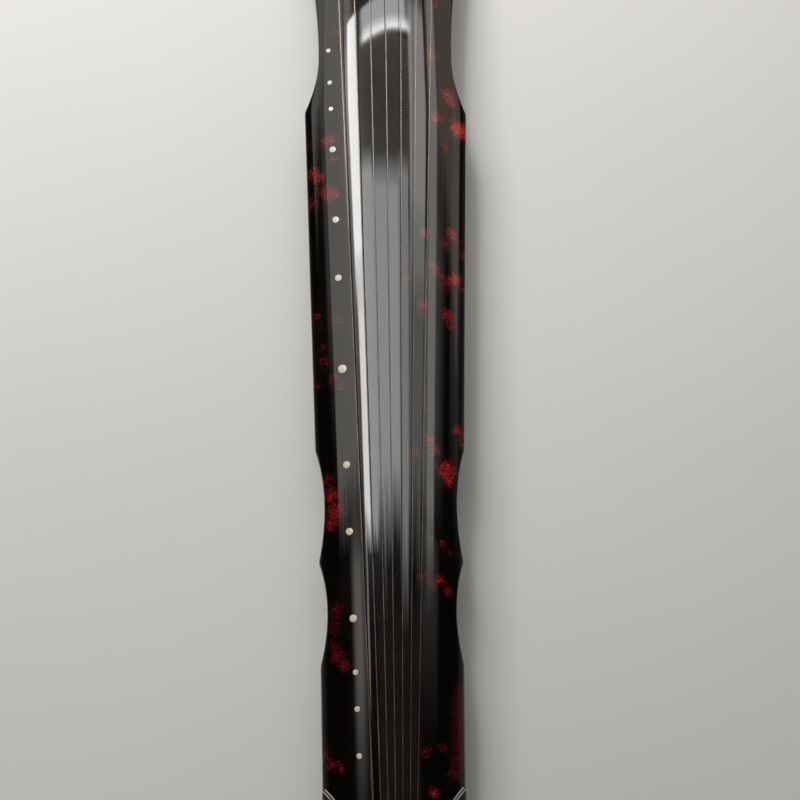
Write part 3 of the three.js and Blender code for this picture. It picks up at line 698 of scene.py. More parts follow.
def tubeMesh(routes, sideCount):
    # closed tubes along routes of (point, radius), as one mesh
    curve = bpy.data.curves.new("tube", "CURVE")
    curve.dimensions = "3D"
    curve.bevel_depth = 1.0
    curve.bevel_resolution = max(sideCount // 2 - 2, 0)
    curve.use_fill_caps = True
    for route in routes:
        spline = curve.splines.new("POLY")
        spline.points.add(len(route) - 1)
        for target, (place, radius) in zip(spline.points, route):
            target.co = (*place, 1)
            target.radius = radius
    made = newObject("tube", curve)
    mesh = bpy.data.meshes.new_from_object(made.evaluated_get(bpy.context.evaluated_depsgraph_get()))
    bpy.data.objects.remove(made)
    bpy.data.curves.remove(curve)
    form = bmesh.new()
    form.from_mesh(mesh)
    bmesh.ops.remove_doubles(form, verts=form.verts, dist=1e-7)
    closed(form).to_mesh(mesh)
    form.free()
    return mesh


# Boards under lacquer

boards = {
    "rows": 340,
    "columns": 56,
    "rounding": {"width": 0.0016, "segments": 4, "angle": 25},
    "sideWall": 0.013,
    "thickness": 0.018,
    "headBlock": 0.028,
    "tailBlock": 0.062,
    "hollowSteps": (90, 16),
    "bulgePower": 9,
    "pad": 0.005,
    "padMargin": 0.014,
    "levelFace": 0.9,  # least Z of the normal of a face that looks up
}
soundHoles = {
    "dragonPool": {"x": along(0.365), "length": 0.210, "width": 0.027, "node": "dragon_pool_rim"},
    "phoenixPond": {"x": along(0.815), "length": 0.105, "width": 0.025, "node": "phoenix_pond_rim"},
}
fittings = {
    "bridgeThickness": 0.009,
    "bridgeSpan": 0.172,
    "inlet": 0.004,
    "stripWidth": 0.013,
    "stripRise": 0.0016,
    "stringHole": 0.0044,
    "stringHoleOffset": 0.0075,
    "bridgeSpacing": 0.0204,
    "tailSpacing": 0.0063,
    "poolLength": 0.149,
    "poolWidth": 0.030,
    "plateWidth": 0.019,
    "plateThickness": 0.005,
    "plateEdge": 0.0004,
    "tailNutSpan": 0.050,
    "tailNutRise": 0.0024,
    "tailNutHeight": 0.011,
    "tailNutSetback": 0.0019,
    "lowerNutThickness": 0.006,
    "lowerNutDrop": 0.0025,
    "tenon": 0.0176,
    "footX": along(0.7),
    "footSpread": 0.092,
    "holeSegments": 24,
}
bridgeHeadX = bridgeX + fittings["bridgeThickness"]
stripTailX = bridgeHeadX + fitGap
stripHeadX = stripTailX + fittings["stripWidth"]
stringHoleX = bridgeHeadX + fittings["stringHoleOffset"]
tailFaceX = tailEnd + fittings["tailNutSetback"]
lowerNutX = tailFaceX + fittings["lowerNutThickness"]
lowerNutZ = underZ - fittings["lowerNutDrop"]
tailNutLowZ = float(crown(tailNutX)) + fittings["tailNutRise"] - fittings["tailNutHeight"]
footX = fittings["footX"]
footY = fittings["footSpread"] / 2
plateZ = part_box("peg_plate")[0].z
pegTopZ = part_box("tuning_peg_4")[1].z
bridgeYs = [(3 - k) * fittings["bridgeSpacing"] for k in range(7)]
tailYs = [(3 - k) * fittings["tailSpacing"] for k in range(7)]

# the grid's side and end rows meet in the middle of each rounded corner of the outline
headRound = sideLine[1 : outline["curveSteps"] + 2]
tailRound = sideLine[-outline["curveSteps"] - 1 :]
headMiddle = headRound[len(headRound) // 2]
tailMiddle = tailRound[len(tailRound) // 2]
headEdge = sorted((at.y, at.x) for at in [sideLine[0], *headRound] if at.y <= headMiddle.y)
tailEdge = sorted((at.y, at.x) for at in tailRound if at.y <= tailMiddle.y)


def outlinePlace(u, w):
    # u runs from the head to the tail, w from the near side to the far side
    x = mix(headMiddle.x, tailMiddle.x, u)
    y = w * float(halfWidth(x))
    headBulge = np.interp(abs(w) * headMiddle.y, *zip(*headEdge)) - headMiddle.x
    tailBulge = np.interp(abs(w) * tailMiddle.y, *zip(*tailEdge)) - tailMiddle.x
    power = boards["bulgePower"]
    return x + float(headBulge) * (1 - u) ** power + float(tailBulge) * u**power, y


def outlineForm(rows, columns, lowZ, highOf):
    return gridForm(rows, columns, outlinePlace, lambda x, y: lowZ, highOf)


def ceiling(x, y):
    return topZ(x, y) - boards["thickness"]


def hollowForm():
    headX = bridgeX - boards["headBlock"]
    tailX = tailNutX + boards["tailBlock"]

    def place(u, w):
        x = mix(headX, tailX, u)
        return x, w * (float(halfWidth(x)) - boards["sideWall"])

    hollow = gridForm(*boards["hollowSteps"], place, lambda x, y: jointZ - fitGap, ceiling)
    margin = 2 * boards["padMargin"]
    pads = []
    for hole in soundHoles.values():
        lowZ = ceiling(hole["x"], 0) - boards["pad"]
        pads.append(slotForm(hole["x"], hole["length"] + margin, hole["width"] + margin, lowZ, skyZ))
    return carve(hollow, pads)


def stringHoleForms():
    radius = fittings["stringHole"] / 2
    return [rodForm(stringHoleX, y, underZ, skyZ, radius, fittings["holeSegments"]) for y in bridgeYs]


def poolForm(width, lowZ, highZ, grow):
    halfWide = width / 2 + grow
    halfLong = fittings["poolLength"] / 2 + grow
    return boxForm((stringHoleX - halfWide, -halfLong, lowZ), (stringHoleX + halfWide, halfLong, highZ))


def inletZ(x, y):
    return topZ(x, y) - fittings["inlet"]


def bridgeSeatForm():
    ys = across(fittings["bridgeSpan"] + 2 * fitGap, 24)
    xs = (bridgeX - fitGap, stripHeadX + fitGap)
    return slabForm(xs, ys, lambda x, y: inletZ(x, y) - fitGap, lambda x, y: skyZ)


def tailNutSeatForms():
    half = fittings["tailNutSpan"] / 2 + fitGap
    startX = tailEnd - crowns["overrun"]
    return [
        boxForm((startX, -half, tailNutLowZ - fitGap), (tailNutX + fitGap, half, skyZ)),
        boxForm((startX, -half, lowerNutZ), (lowerNutX + fitGap, half, tailNutLowZ)),
    ]


crowns = {
    "length": 0.129,
    "depth": 0.006,
    "rise": 0.0007,
    "curveShares": (0.27, 0.25),
    "steps": 24,
    "overrun": 0.002,
    "underSteps": (30, 48),
    "outlineSteps": (240, 44),
    "beadRadius": 0.0008,
    "beadSpacing": 0.0020,
    "beadSink": 0.0002,
    "beadSides": 10,
}


def crownEdge(side, gap):
    # inner edge of a crown in plan: from the side of the body it sweeps in to the tail nut
    start = Vector((tailEnd + crowns["length"] - gap, 0))
    start.y = float(halfWidth(start.x)) + gap
    innerY = fittings["tailNutSpan"] / 2 + 2 * fitGap + gap
    end = Vector((tailNutX, innerY))
    shareX, shareY = crowns["curveShares"]
    control = Vector((mix(start.x, tailEnd, shareX), mix(innerY, start.y, shareY)))
    return [Vector((at.x, side * at.y)) for at in [start, *bend(start, control, end, crowns["steps"])]]


def crownPlanForm(side, gap):
    edge = crownEdge(side, gap)
    outY = side * (abs(edge[0].y) + crowns["overrun"])
    endX = tailEnd - crowns["overrun"]
    plan = [(edge[0].x, outY), *edge, (endX, edge[-1].y), (endX, outY)]
    return prismForm([(x, y, jointZ) for x, y in plan], (0, 0, skyZ - jointZ))


def underSurfaceForm(depth):
    endX = tailEnd + crowns["length"] + 2 * crowns["overrun"]

    def place(u, w):
        return mix(endX, tailEnd - 2 * crowns["overrun"], u), w * outline["shoulder"]

    return gridForm(*crowns["underSteps"], place, lambda x, y: 0.0, lambda x, y: topZ(x, y) - depth)


def crownSeatForm(side):
    return carve(crownPlanForm(side, 0), [underSurfaceForm(crowns["depth"] + fitGap)])


# Cinnabar clouds in the lacquer, each as column, row, radius in pixels of the photograph, strength and tone

cinnabarClouds = [
    (434, 4, 5, 0.3, 0.4), (338, 31, 5, 0.34, 0.35), (431, 57, 7, 0.5, 0.45), (447, 94, 6, 0.58, 0.7),
    (451, 101, 6, 0.6, 0.75), (436, 118, 6, 0.62, 0.6), (459, 130, 7, 1.3, 1.0), (459, 131, 9, 0.7, 0.95),
    (445, 147, 5, 0.2, 0.5), (328, 141, 7, 0.45, 0.5), (309, 146, 6, 0.14, 0.2), (334, 159, 5, 0.3, 0.4),
    (313, 173, 5, 0.65, 0.6), (318, 178, 6, 0.7, 0.55), (323, 192, 5, 0.62, 0.5), (331, 194, 8, 0.7, 0.55),
    (311, 204, 6, 0.35, 0.45), (425, 233, 5, 0.9, 0.6), (452, 234, 5, 0.8, 0.7), (456, 241, 4, 0.5, 0.55),
    (445, 243, 7, 0.45, 0.3), (464, 256, 5, 0.55, 0.45), (408, 260, 4, 0.3, 0.5), (434, 266, 5, 0.8, 0.6),
    (438, 274, 5, 0.6, 0.5), (455, 279, 6, 1.2, 0.8), (446, 283, 9, 0.45, 0.3), (406, 276, 4, 0.55, 0.5),
    (461, 290, 4, 0.55, 0.5), (422, 306, 5, 0.75, 0.55), (424, 314, 5, 0.3, 0.4), (448, 315, 6, 0.85, 0.5),
    (451, 325, 6, 0.6, 0.4), (317, 316, 4, 0.4, 0.35), (337, 320, 6, 0.28, 0.45), (319, 330, 7, 0.12, 0.25),
    (322, 348, 4, 0.22, 0.35), (324, 362, 6, 0.3, 0.35), (333, 379, 5, 0.3, 0.4), (342, 386, 4, 0.55, 0.5),
    (318, 386, 5, 0.14, 0.3), (426, 408, 5, 0.25, 0.4), (430, 440, 5, 0.75, 0.5), (434, 450, 6, 0.75, 0.5),
    (415, 452, 4, 0.55, 0.5), (458, 431, 5, 1.1, 0.6), (461, 443, 4, 0.5, 0.45), (446, 471, 9, 1.15, 0.7),
    (448, 480, 6, 1.05, 0.65), (328, 480, 6, 0.35, 0.45), (331, 496, 8, 0.55, 0.5), (334, 512, 9, 0.7, 0.5),
    (331, 524, 7, 0.75, 0.5), (442, 544, 4, 0.5, 0.5), (450, 553, 4, 0.14, 0.3), (423, 577, 5, 0.4, 0.35),
    (433, 586, 5, 0.5, 0.35), (440, 580, 5, 0.8, 0.5), (448, 591, 5, 0.95, 0.45), (337, 611, 8, 0.45, 0.15),
    (334, 628, 8, 0.3, 0.1),
    (332, 645, 7, 0.35, 0.15), (338, 656, 8, 0.55, 0.25), (344, 665, 6, 0.55, 0.4), (325, 755, 5, 0.45, 0.3),
    (331, 765, 5, 0.7, 0.35), (340, 768, 5, 0.6, 0.35), (426, 753, 6, 0.34, 0.35), (443, 748, 5, 0.32, 0.35),
    (434, 793, 6, 0.65, 0.6), (459, 690, 7, 0.5, 0.0), (458, 701, 8, 0.55, 0.0), (458, 713, 8, 0.6, 0.05),
    (458, 725, 8, 0.6, 0.1), (458, 737, 8, 0.6, 0.1), (458, 749, 8, 0.55, 0.08), (457, 761, 9, 0.55, 0.11),
    (455, 773, 9, 0.5, 0.2),
]
unseenClouds = {
    "seed": 41,
    "head": 9,
    "headBack": 0.05,
    "headY": (0.05, 0.098),
    "under": 46,
    "underY": 0.09,
    "strength": (0.35, 0.95),
    "radius": (0.005, 0.011),
}
cloudShape = {"size": 0.76, "fall": 0.9, "power": 2.6, "overlap": 0.25, "most": 1.3, "plainTone": 0.45}
wear = {"depth": 0.0008, "height": 0.0022, "width": 0.0025}


def cloudTable():
    rows = []
    for column, row, radius, strength, tone in cinnabarClouds:
        place = photoPlace(column, row)
        size = cloudShape["size"] * (photoPlace(column, row - radius) - place).length
        rows.append((place.x, place.y, 1, size, strength, tone))
    draw = random.Random(unseenClouds["seed"])

    def addUnseen(x, y, face):
        size = draw.uniform(*unseenClouds["radius"])
        strength = draw.uniform(*unseenClouds["strength"])
        rows.append((x, y, face, size, strength, draw.random()))

    for _ in range(unseenClouds["head"]):
        x = draw.uniform(outline["flareX"] - unseenClouds["headBack"], headEnd)
        addUnseen(x, draw.choice((-1, 1)) * draw.uniform(*unseenClouds["headY"]), 1)
    for _ in range(unseenClouds["under"]):
        x = draw.uniform(tailEnd, headEnd)
        addUnseen(x, draw.uniform(-unseenClouds["underY"], unseenClouds["underY"]), -1)
    return np.array(rows)


def paintBoard(piece):
    mesh = piece.data
    co = np.zeros(len(mesh.vertices) * 3)
    mesh.vertices.foreach_get("co", co)
    x, y, z = co.reshape(-1, 3).T
    isUnder = z < underZ + 0.5 * body["bottom"]
    mask = np.zeros(len(x))
    weight = np.full(len(x), 1e-6)
    tone = cloudShape["plainTone"] * weight
    for cx, cy, face, size, strength, hue in clouds:
        reach = np.hypot(x - cx, y - cy) / size
        share = strength * np.exp(-cloudShape["fall"] * reach ** cloudShape["power"])
        share = share * np.where(isUnder == (face < 0), 1, 0)
        mask = np.maximum(mask, share) + cloudShape["overlap"] * np.minimum(mask, share)
        weight += share
        tone += hue * share
    down = (z - surface(x, y) + wear["depth"]) / wear["height"]
    inward = (halfWidth(x) - np.abs(y)) / wear["width"]
    layers = {
        "cinnabar": np.clip(mask, 0, cloudShape["most"]),
        "redTone": tone / weight,
        "wear": np.exp(-(down**2)) * np.exp(-(inward**2)),
    }
    for name, values in layers.items():
        layer = mesh.attributes.new(name, "FLOAT", "POINT")
        layer.data.foreach_set("value", values.astype(np.float32))


def bareFaces(piece, isBare):
    # the sound box is left as raw wood
    piece.data.materials.append(finishes["raw_wood"])
    for face in piece.data.polygons:
        if isBare(*face.center, face.normal.z):
            face.material_index = 1


def makeTopBoard():
    form = outlineForm(boards["rows"], boards["columns"], jointZ, topZ)
    softenEdges(form, **boards["rounding"], chosen=lambda edge: lowest(edge) > jointZ + fitGap)
    plateHighZ = plateZ + fittings["plateThickness"] + fitGap
    cutters = [
        hollowForm(),
        bridgeSeatForm(),
        *stringHoleForms(),
        poolForm(fittings["plateWidth"], jointZ - fitGap, plateHighZ, fitGap),
        *tailNutSeatForms(),
        crownSeatForm(1),
        crownSeatForm(-1),
    ]
    headX = bridgeX - boards["headBlock"] + fitGap
    tailX = tailNutX + boards["tailBlock"] - fitGap

    def isInside(x, y, z, _):
        if not tailX < x < headX or abs(y) >= float(halfWidth(x)) - boards["sideWall"] + fitGap:
            return False
        return jointZ - fitGap < z < topZ(x, y) - 0.5 * boards["thickness"]

    board = finishPiece("lacqueredTop", carve(form, cutters), "lacquered_board", ["top_board"])
    bareFaces(board, isInside)
    paintBoard(board)


def makeBottomBoard():
    form = outlineForm(boards["rows"] // 2, boards["columns"] // 2, underZ, lambda x, y: jointZ)
    softenEdges(form, **boards["rounding"], chosen=lambda edge: highest(edge) < jointZ - fitGap)
    cutters = [
        *[slotForm(hole["x"], hole["length"], hole["width"], 0, crownZ) for hole in soundHoles.values()],
        poolForm(fittings["poolWidth"], 0, crownZ, 0),
        *[rodForm(footX, side * footY, 0, crownZ, fittings["tenon"] / 2 + fitGap, 48) for side, _ in sides],
        tailNutSeatForms()[1],
    ]
    board = finishPiece("lacqueredBottom", carve(form, cutters), "lacquered_board", ["bottom_board"])
    bareFaces(board, lambda x, y, z, up: up > boards["levelFace"] and z > jointZ - fitGap)
    paintBoard(board)


clouds = cloudTable()
makeTopBoard()
makeBottomBoard()
print("boards made")

# Rims of the sound holes

rims = {"width": 0.0035, "proud": 0.0006, "edge": {"width": 0.0006, "segments": 3, "angle": 60}}


def makeRim(name, hole):
    def solid(gap, lowZ, highZ):
        return slotForm(hole["x"], hole["length"] - 2 * gap, hole["width"] - 2 * gap, lowZ, highZ)

    outer = solid(fitGap, underZ - rims["proud"], jointZ - fitGap)
    form = carve(outer, [solid(fitGap + rims["width"], 0, crownZ)])
    softenEdges(form, **rims["edge"])
    finishPiece(name, form, "dark_hardwood", [hole["node"]])


for holeName, hole in soundHoles.items():
    makeRim(holeName + "Rim", hole)
print("rims made")

# Bridge and the strip of string holes

bridge = {
    "rise": 0.017,
    "archShare": 0.92,
    "endFall": 0.009,
    "rounding": 0.0016,
    "arcSteps": 5,
    "steps": 60,
    "edge": {"width": 0.0008, "segments": 3, "angle": 60},
    "edgesFrom": jointZ + 0.02,
    "stripEdge": {"width": 0.0005, "segments": 3, "angle": 60},
}


def bridgeTop(y):
    past = max(abs(y) - bridgeYs[0], 0) / (fittings["bridgeSpan"] / 2 - bridgeYs[0])
    arch = bridge["archShare"] * float(edgeFall(bridgeX, y))
    return float(crown(bridgeX)) + bridge["rise"] - arch - bridge["endFall"] * past**2


def makeBridge():
    radius, steps = bridge["rounding"], bridge["arcSteps"]

    def section(y):
        centreZ = bridgeTop(y) - radius
        headSide = arcPoints((bridgeHeadX - radius, centreZ), radius, 0, math.pi / 2, steps)
        tailSide = arcPoints((bridgeX + radius, centreZ), radius, math.pi / 2, math.pi, steps)
        floorZ = inletZ(bridgeX, y)
        return [(bridgeX, floorZ), (bridgeHeadX, floorZ), *headSide, *tailSide]

    form = sectionForm(across(fittings["bridgeSpan"], bridge["steps"]), section)
    softenEdges(form, **bridge["edge"], chosen=lambda edge: lowest(edge) > bridge["edgesFrom"])
    finishPiece("dressedBridge", form, "dark_hardwood", ["bridge"])


def stripTop(x, y):
    return topZ(x, y) + fittings["stripRise"]


def makeStrip():
    ys = across(fittings["bridgeSpan"], bridge["steps"])
    form = slabForm((stripTailX, stripHeadX), ys, inletZ, stripTop)
    softenEdges(form, **bridge["stripEdge"])
    finishPiece("stringHoleStrip", carve(form, stringHoleForms()), "dark_hardwood", ["string_hole_strip"])


makeBridge()
makeStrip()
print("bridge and strip made")

# Peg plate, guards and pegs

pegs = {
    "tipZ": 0.008,
    "head": 0.0144,
    "headHeight": 0.003,
    "topEdge": 0.0005,
    "lowEdge": 0.0004,
    "fillet": 0.0006,
    "neck": 0.0096,
    "neckHeight": 0.0105,
    "body": 0.0156,
    "swell": 0.0003,
    "tip": 0.0104,
    "chamfer": 0.0022,
    "bore": 0.003,
    "boreOverrun": 0.002,
    "sideHole": 0.0061,
    "flutes": 8,
    "fluteShare": 0.09,
    "fluteFade": 6,
    "arcSteps": 5,
    "steps": 14,
    "segments": 64,
}
guards = {
    "width": 0.034,
    "foot": 0.024,
    "inset": 0.0025,
    "rounding": 0.005,
    "steps": 10,
    "edge": {"width": 0.0012, "segments": 4, "angle": 60},
}


def makePlate():
    form = poolForm(fittings["plateWidth"], plateZ, plateZ + fittings["plateThickness"], 0)
    softenEdges(form, fittings["plateEdge"], 2)
    finishPiece("pegPlate", carve(form, stringHoleForms()), "dark_hardwood", ["peg_plate"])


def guardOutline():
    # seen from the side, down from the body's underside
    half, foot, inset = guards["width"] / 2, guards["foot"] / 2, guards["inset"]
    height = body["foot"]
    corners = [
        (Vector((half - inset, -height / 2)), Vector((foot + inset, guards["rounding"] - height))),
        (Vector((foot + inset, -height)), Vector((foot - inset, -height))),
    ]
    line = [Vector((half, 0))]
    for control, end in corners:
        line += bend(line[-1], control, end, guards["steps"])
    return [(at.x, at.y) for at in line] + [(-at.x, at.y) for at in reversed(line)]


def makeGuard(label):
    low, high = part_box("peg_guard_" + label)
    plan = [(stringHoleX + x, low.y, underZ + z) for x, z in guardOutline()]
    form = prismForm(plan, (0, high.y - low.y, 0))
    softenEdges(form, **guards["edge"], chosen=lambda edge: highest(edge) < underZ - fitGap)
    finishPiece("pegGuard_" + label, form, "dark_hardwood", ["peg_guard_" + label], sharpAngle=50)


def pegForm():
    # from the middle of the head's upper face, at the origin, down to the tip
    length = pegTopZ - pegs["tipZ"]
    head, neck, widest, tip = (pegs[name] / 2 for name in ("head", "neck", "body", "tip"))
    chamfer, fillet = pegs["chamfer"], pegs["fillet"]
    headLow = -pegs["headHeight"]
    neckLow = headLow - pegs["neckHeight"]
    fluteTop, fluteEnd = neckLow - chamfer, chamfer - length
    profile = [
        (0, 0),
        (head - pegs["topEdge"], 0),
        (head, -pegs["topEdge"]),
        (head, headLow + pegs["lowEdge"]),
        (head - pegs["lowEdge"], headLow),
        (neck + fillet, headLow),
        (neck, headLow - fillet),
        (neck, neckLow),
    ]
    shoulder = arcPoints((0, 0), 1, math.pi / 2, 0, pegs["arcSteps"])
    profile += [(neck + (widest - neck) * a, neckLow - chamfer * (1 - b)) for a, b in shoulder[1:]]
    for k in range(1, pegs["steps"]):
        share = k / pegs["steps"]
        swell = pegs["swell"] * math.sin(math.pi * share)
        profile.append((mix(widest, tip, share) + swell, mix(fluteTop, fluteEnd, share)))
    rounding = arcPoints((0, 0), 1, 0, math.pi / 2, pegs["arcSteps"])
    profile += [(tip - chamfer * (1 - a), fluteEnd - chamfer * b) for a, b in rounding]
    profile.append((0, -length))
    form = turnedForm(profile, pegs["segments"])
    for vert in form.verts:
        share = (fluteTop - vert.co.z) / (fluteTop - fluteEnd)
        if 0 < share < 1:
            fade = min(1, pegs["fluteFade"] * share, pegs["fluteFade"] * (1 - share))
            groove = abs(math.sin(pegs["flutes"] * math.atan2(vert.co.y, vert.co.x) / 2))
            sink = 1 - pegs["fluteShare"] * fade * (1 - groove) ** 2
            vert.co.x *= sink
            vert.co.y *= sink
    radius = pegs["bore"] / 2
    bore = rodForm(0, 0, -pegs["sideHole"] - radius, pegs["boreOverrun"], radius, fittings["holeSegments"])
    sideHole = rodForm(0, 0, 0, pegs["neck"], radius, fittings["holeSegments"])
    rotate(sideHole, Matrix.Rotation(math.pi / 2, 3, "Y"))
    move(sideHole, (0, 0, -pegs["sideHole"]))
    return carve(form, [bore, sideHole])


cords = {"strandShare": 0.29, "lay": 0.0032, "layPoints": 9, "sides": 6, "sharpAngle": 80}
winding = {"diameter": 0.0016, "turns": 2.25, "turnGap": 0.0005, "start": math.pi / 9, "steps": 40}


def coil(radius, start, fromZ, pitch, turns, steps):
    # places on a coil that goes down about the Z axis
    places = []
    for k in range(round(turns * steps) + 1):
        angle = start + 2 * math.pi * k / steps
        places.append((radius * math.cos(angle), radius * math.sin(angle), fromZ - pitch * k / steps))
    return places


def windingRoute():
    # down the bore, out of the side hole and round the neck, in the peg's own frame
    d = winding["diameter"]
    neck = pegs["neck"] / 2
    exitZ = -pegs["sideHole"]
    turns = coil(neck + fitGap + d, winding["start"], exitZ, d + winding["turnGap"], winding["turns"],
                 winding["steps"])
    way = [(0, 0, 0), (0, 0, exitZ + d), (0.5 * d, 0, exitZ + 0.25 * d), (neck, 0, exitZ), *turns]
    return [Vector(place) for place in way]


def evenly(points, step):
    # the same route with a point every step, and its length
    run = [0.0]
    for a, b in zip(points, points[1:]):
        run.append(run[-1] + (b - a).length)
    places = np.linspace(0, run[-1], max(int(run[-1] / step), 2) + 1)
    columns = [np.interp(places, run, [p[axis] for p in points]) for axis in range(3)]
    return [Vector(row) for row in zip(*columns)], run[-1]


def cordMesh(points, diameter):
    # two strands laid round each other along a route
    strand = cords["strandShare"] * diameter
    offset = diameter / 2 - strand
    dense, length = evenly(points, cords["lay"] / cords["layPoints"])
    isLevel = abs((dense[1] - dense[0]).normalized().z) < 0.5
    side = Vector((0, 0, 1)) if isLevel else Vector((0, 1, 0))
    strands = [[], []]
    for k, place in enumerate(dense):
        heading = (dense[min(k + 1, len(dense) - 1)] - dense[max(k - 1, 0)]).normalized()
        side = (side - heading * side.dot(heading)).normalized()
        angle = 2 * math.pi * (length * k / (len(dense) - 1)) / cords["lay"]
        arm = side * math.cos(angle) + heading.cross(side) * math.sin(angle)
        strands[0].append((place + arm * offset, strand))
        strands[1].append((place - arm * offset, strand))
    return tubeMesh(strands, cords["sides"])


def makePegs():
    master = meshOf("pegMaster", pegForm())
    route = windingRoute()
    for k, y in enumerate(bridgeYs, 1):
        place = Vector((stringHoleX, y, pegTopZ))
        peg = master.copy()
        peg.transform(Matrix.Translation(place))
        turning = f"peg_{k}"
        finishPiece(f"tuningPeg_{k}", peg, "dark_hardwood", [f"tuning_peg_{k}"], turning, finish=turnedWood)
        cord = cordMesh([point + place for point in route], winding["diameter"])
        finishPiece(f"pegWinding_{k}", cord, "silk_cord", [f"peg_winding_{k}"], turning, cords["sharpAngle"])
    bpy.data.meshes.remove(master)


makePlate()
for _, label in sides:
    makeGuard(label)
makePegs()
print("peg pool made")

# Strings and the cords that hold them

strings = {
    "diameters": [0.00147, 0.00132, 0.00117, 0.00102, 0.00088, 0.00078, 0.0007],
    "cord": 0.0013,
    "cordSpread": 0.0017,
    "loopSteps": 12,
    "turnGap": 0.0005,
    "footTurns": 2.25,
    "steps": 48,
    "nutRounding": 0.006,
    "lowerRounding": 0.0045,
    "turnSteps": 10,
    "tubeSides": 12,
    "farFoot": 4,  # strings that are wound on the far foot
    "footNeck": 0.017,
    "footCollarHeight": 0.005,
}
knots = {
    "radius": 0.0022,
    "reach": 0.0032,
    "wire": 0.0011,
    "turns": 2.6,
    "steps": 14,
    "ends": 0.72,
    "swell": 0.28,
    "core": 0.9,
    "coreShape": ((-0.9, 0.3), (-0.6, 0.62), (0, 0.74), (0.6, 0.62), (0.9, 0.3)),
}
loopX = bridgeHeadX + fitGap + strings["cord"] / 2


def tailNutTop(y):
    return float(crown(tailNutX)) + fittings["tailNutRise"] - float(edgeFall(tailNutX, y))


def edgeTurn(centreX, centreZ, radius, y, start):
    arc = arcPoints((centreX, centreZ), radius, start, start + math.pi / 2, strings["turnSteps"])
    return [Vector((x, y, z)) for x, z in arc]


def footLevels():
    # where each string's turns on its foot begin
    neckTop = underZ - fitGap - strings["footCollarHeight"]
    level = neckTop
    starts = []
    for k, diameter in enumerate(strings["diameters"]):
        pitch = diameter + strings["turnGap"]
        if k == strings["farFoot"]:
            level = neckTop
        level -= pitch
        starts.append(level)
        level -= strings["footTurns"] * pitch
    return starts


def footWinding(k, start, level):
    side = 1 if k < strings["farFoot"] else -1
    diameter = strings["diameters"][k]
    radius = strings["footNeck"] / 2 + fitGap + diameter
    dx = start.x - footX
    dy = side * start.y - footY
    first = math.atan2(dy, dx) + math.acos(radius / math.hypot(dx, dy))
    turns = coil(radius, first, level, diameter + strings["turnGap"], strings["footTurns"], strings["steps"])
    return [Vector((footX + x, side * (footY + y), z)) for x, y, z in turns]


def knotRoutes(place, diameter):
    # close turns of the string's own end round it, and a core that fills them
    wire = min(diameter, knots["wire"])
    arm = knots["radius"] - wire / 2
    count = knots["turns"] * knots["steps"]
    turns = []
    for j in range(round(count) + 1):
        angle = 2 * math.pi * j / knots["steps"]
        share = j / count
        reach = arm * (knots["ends"] + knots["swell"] * math.sin(math.pi * share))
        x = place[0] + (share - 0.5) * (2 * knots["radius"] - wire)
        y, z = place[1] + reach * math.cos(angle), place[2] + reach * math.sin(angle)
        turns.append((Vector((x, y, z)), wire / 2))
    core = []
    for share, size in knots["coreShape"]:
        x = place[0] + share * knots["radius"] * knots["core"]
        core.append((Vector((x, *place[1:])), size * knots["radius"]))
    return [turns, core]


def makeString(k, level):
    diameter = strings["diameters"][k]
    lift = fitGap + diameter / 2
    headY, tailY = bridgeYs[k], tailYs[k]
    knotPlace = (loopX + knots["reach"], headY, bridgeTop(headY) + lift)
    upper = tailNutTop(tailY)
    nutRadius, lowRadius = strings["nutRounding"], strings["lowerRounding"]
    route = [
        Vector(knotPlace),
        Vector((bridgeX + bridge["rounding"], headY, knotPlace[2])),
        Vector((tailNutX, tailY, upper + lift)),
        *edgeTurn(tailFaceX + nutRadius, upper - nutRadius, nutRadius + lift, tailY, math.pi / 2),
        *edgeTurn(tailFaceX + lowRadius, lowerNutZ + lowRadius, lowRadius + lift, tailY, math.pi),
    ]
    route += footWinding(k, route[-1], level)
    radii = [(place, diameter / 2) for place in route]
    mesh = tubeMesh([radii, *knotRoutes(knotPlace, diameter)], strings["tubeSides"])
    finishPiece(f"woundString_{k + 1}", mesh, "string", [f"string_{k + 1}"], sharpAngle=60)


def makeTuningCord(k):
    # up through the string hole, round the string behind its knot and down again
    headY = bridgeYs[k]
    stringRadius = strings["diameters"][k] / 2
    loopZ = bridgeTop(headY) + fitGap + stringRadius
    loopRadius = stringRadius + fitGap + strings["cord"] / 2
    legY = headY + strings["cordSpread"] / 2
    leg = [
        Vector((stringHoleX, legY, plateZ)),
        Vector((stringHoleX, legY, stripTop(stringHoleX, headY))),
        Vector((loopX, headY + loopRadius, loopZ)),
    ]
    arc = arcPoints((headY, loopZ), loopRadius, 0, math.pi, strings["loopSteps"])
    loop = [Vector((loopX, y, z)) for y, z in arc[1:-1]]
    back = [Vector((at.x, 2 * headY - at.y, at.z)) for at in reversed(leg)]
    mesh = cordMesh(leg + loop + back, strings["cord"])
    angle = cords["sharpAngle"]
    finishPiece(f"tuningCord_{k + 1}", mesh, "silk_cord", [f"tuning_cord_{k + 1}"], sharpAngle=angle)


for k, level in enumerate(footLevels()):
    makeString(k, level)
    makeTuningCord(k)
print("strings made")

# Shell markers

markers = {"count": 13, "segments": 48, "edge": {"width": 0.00015, "segments": 2}}


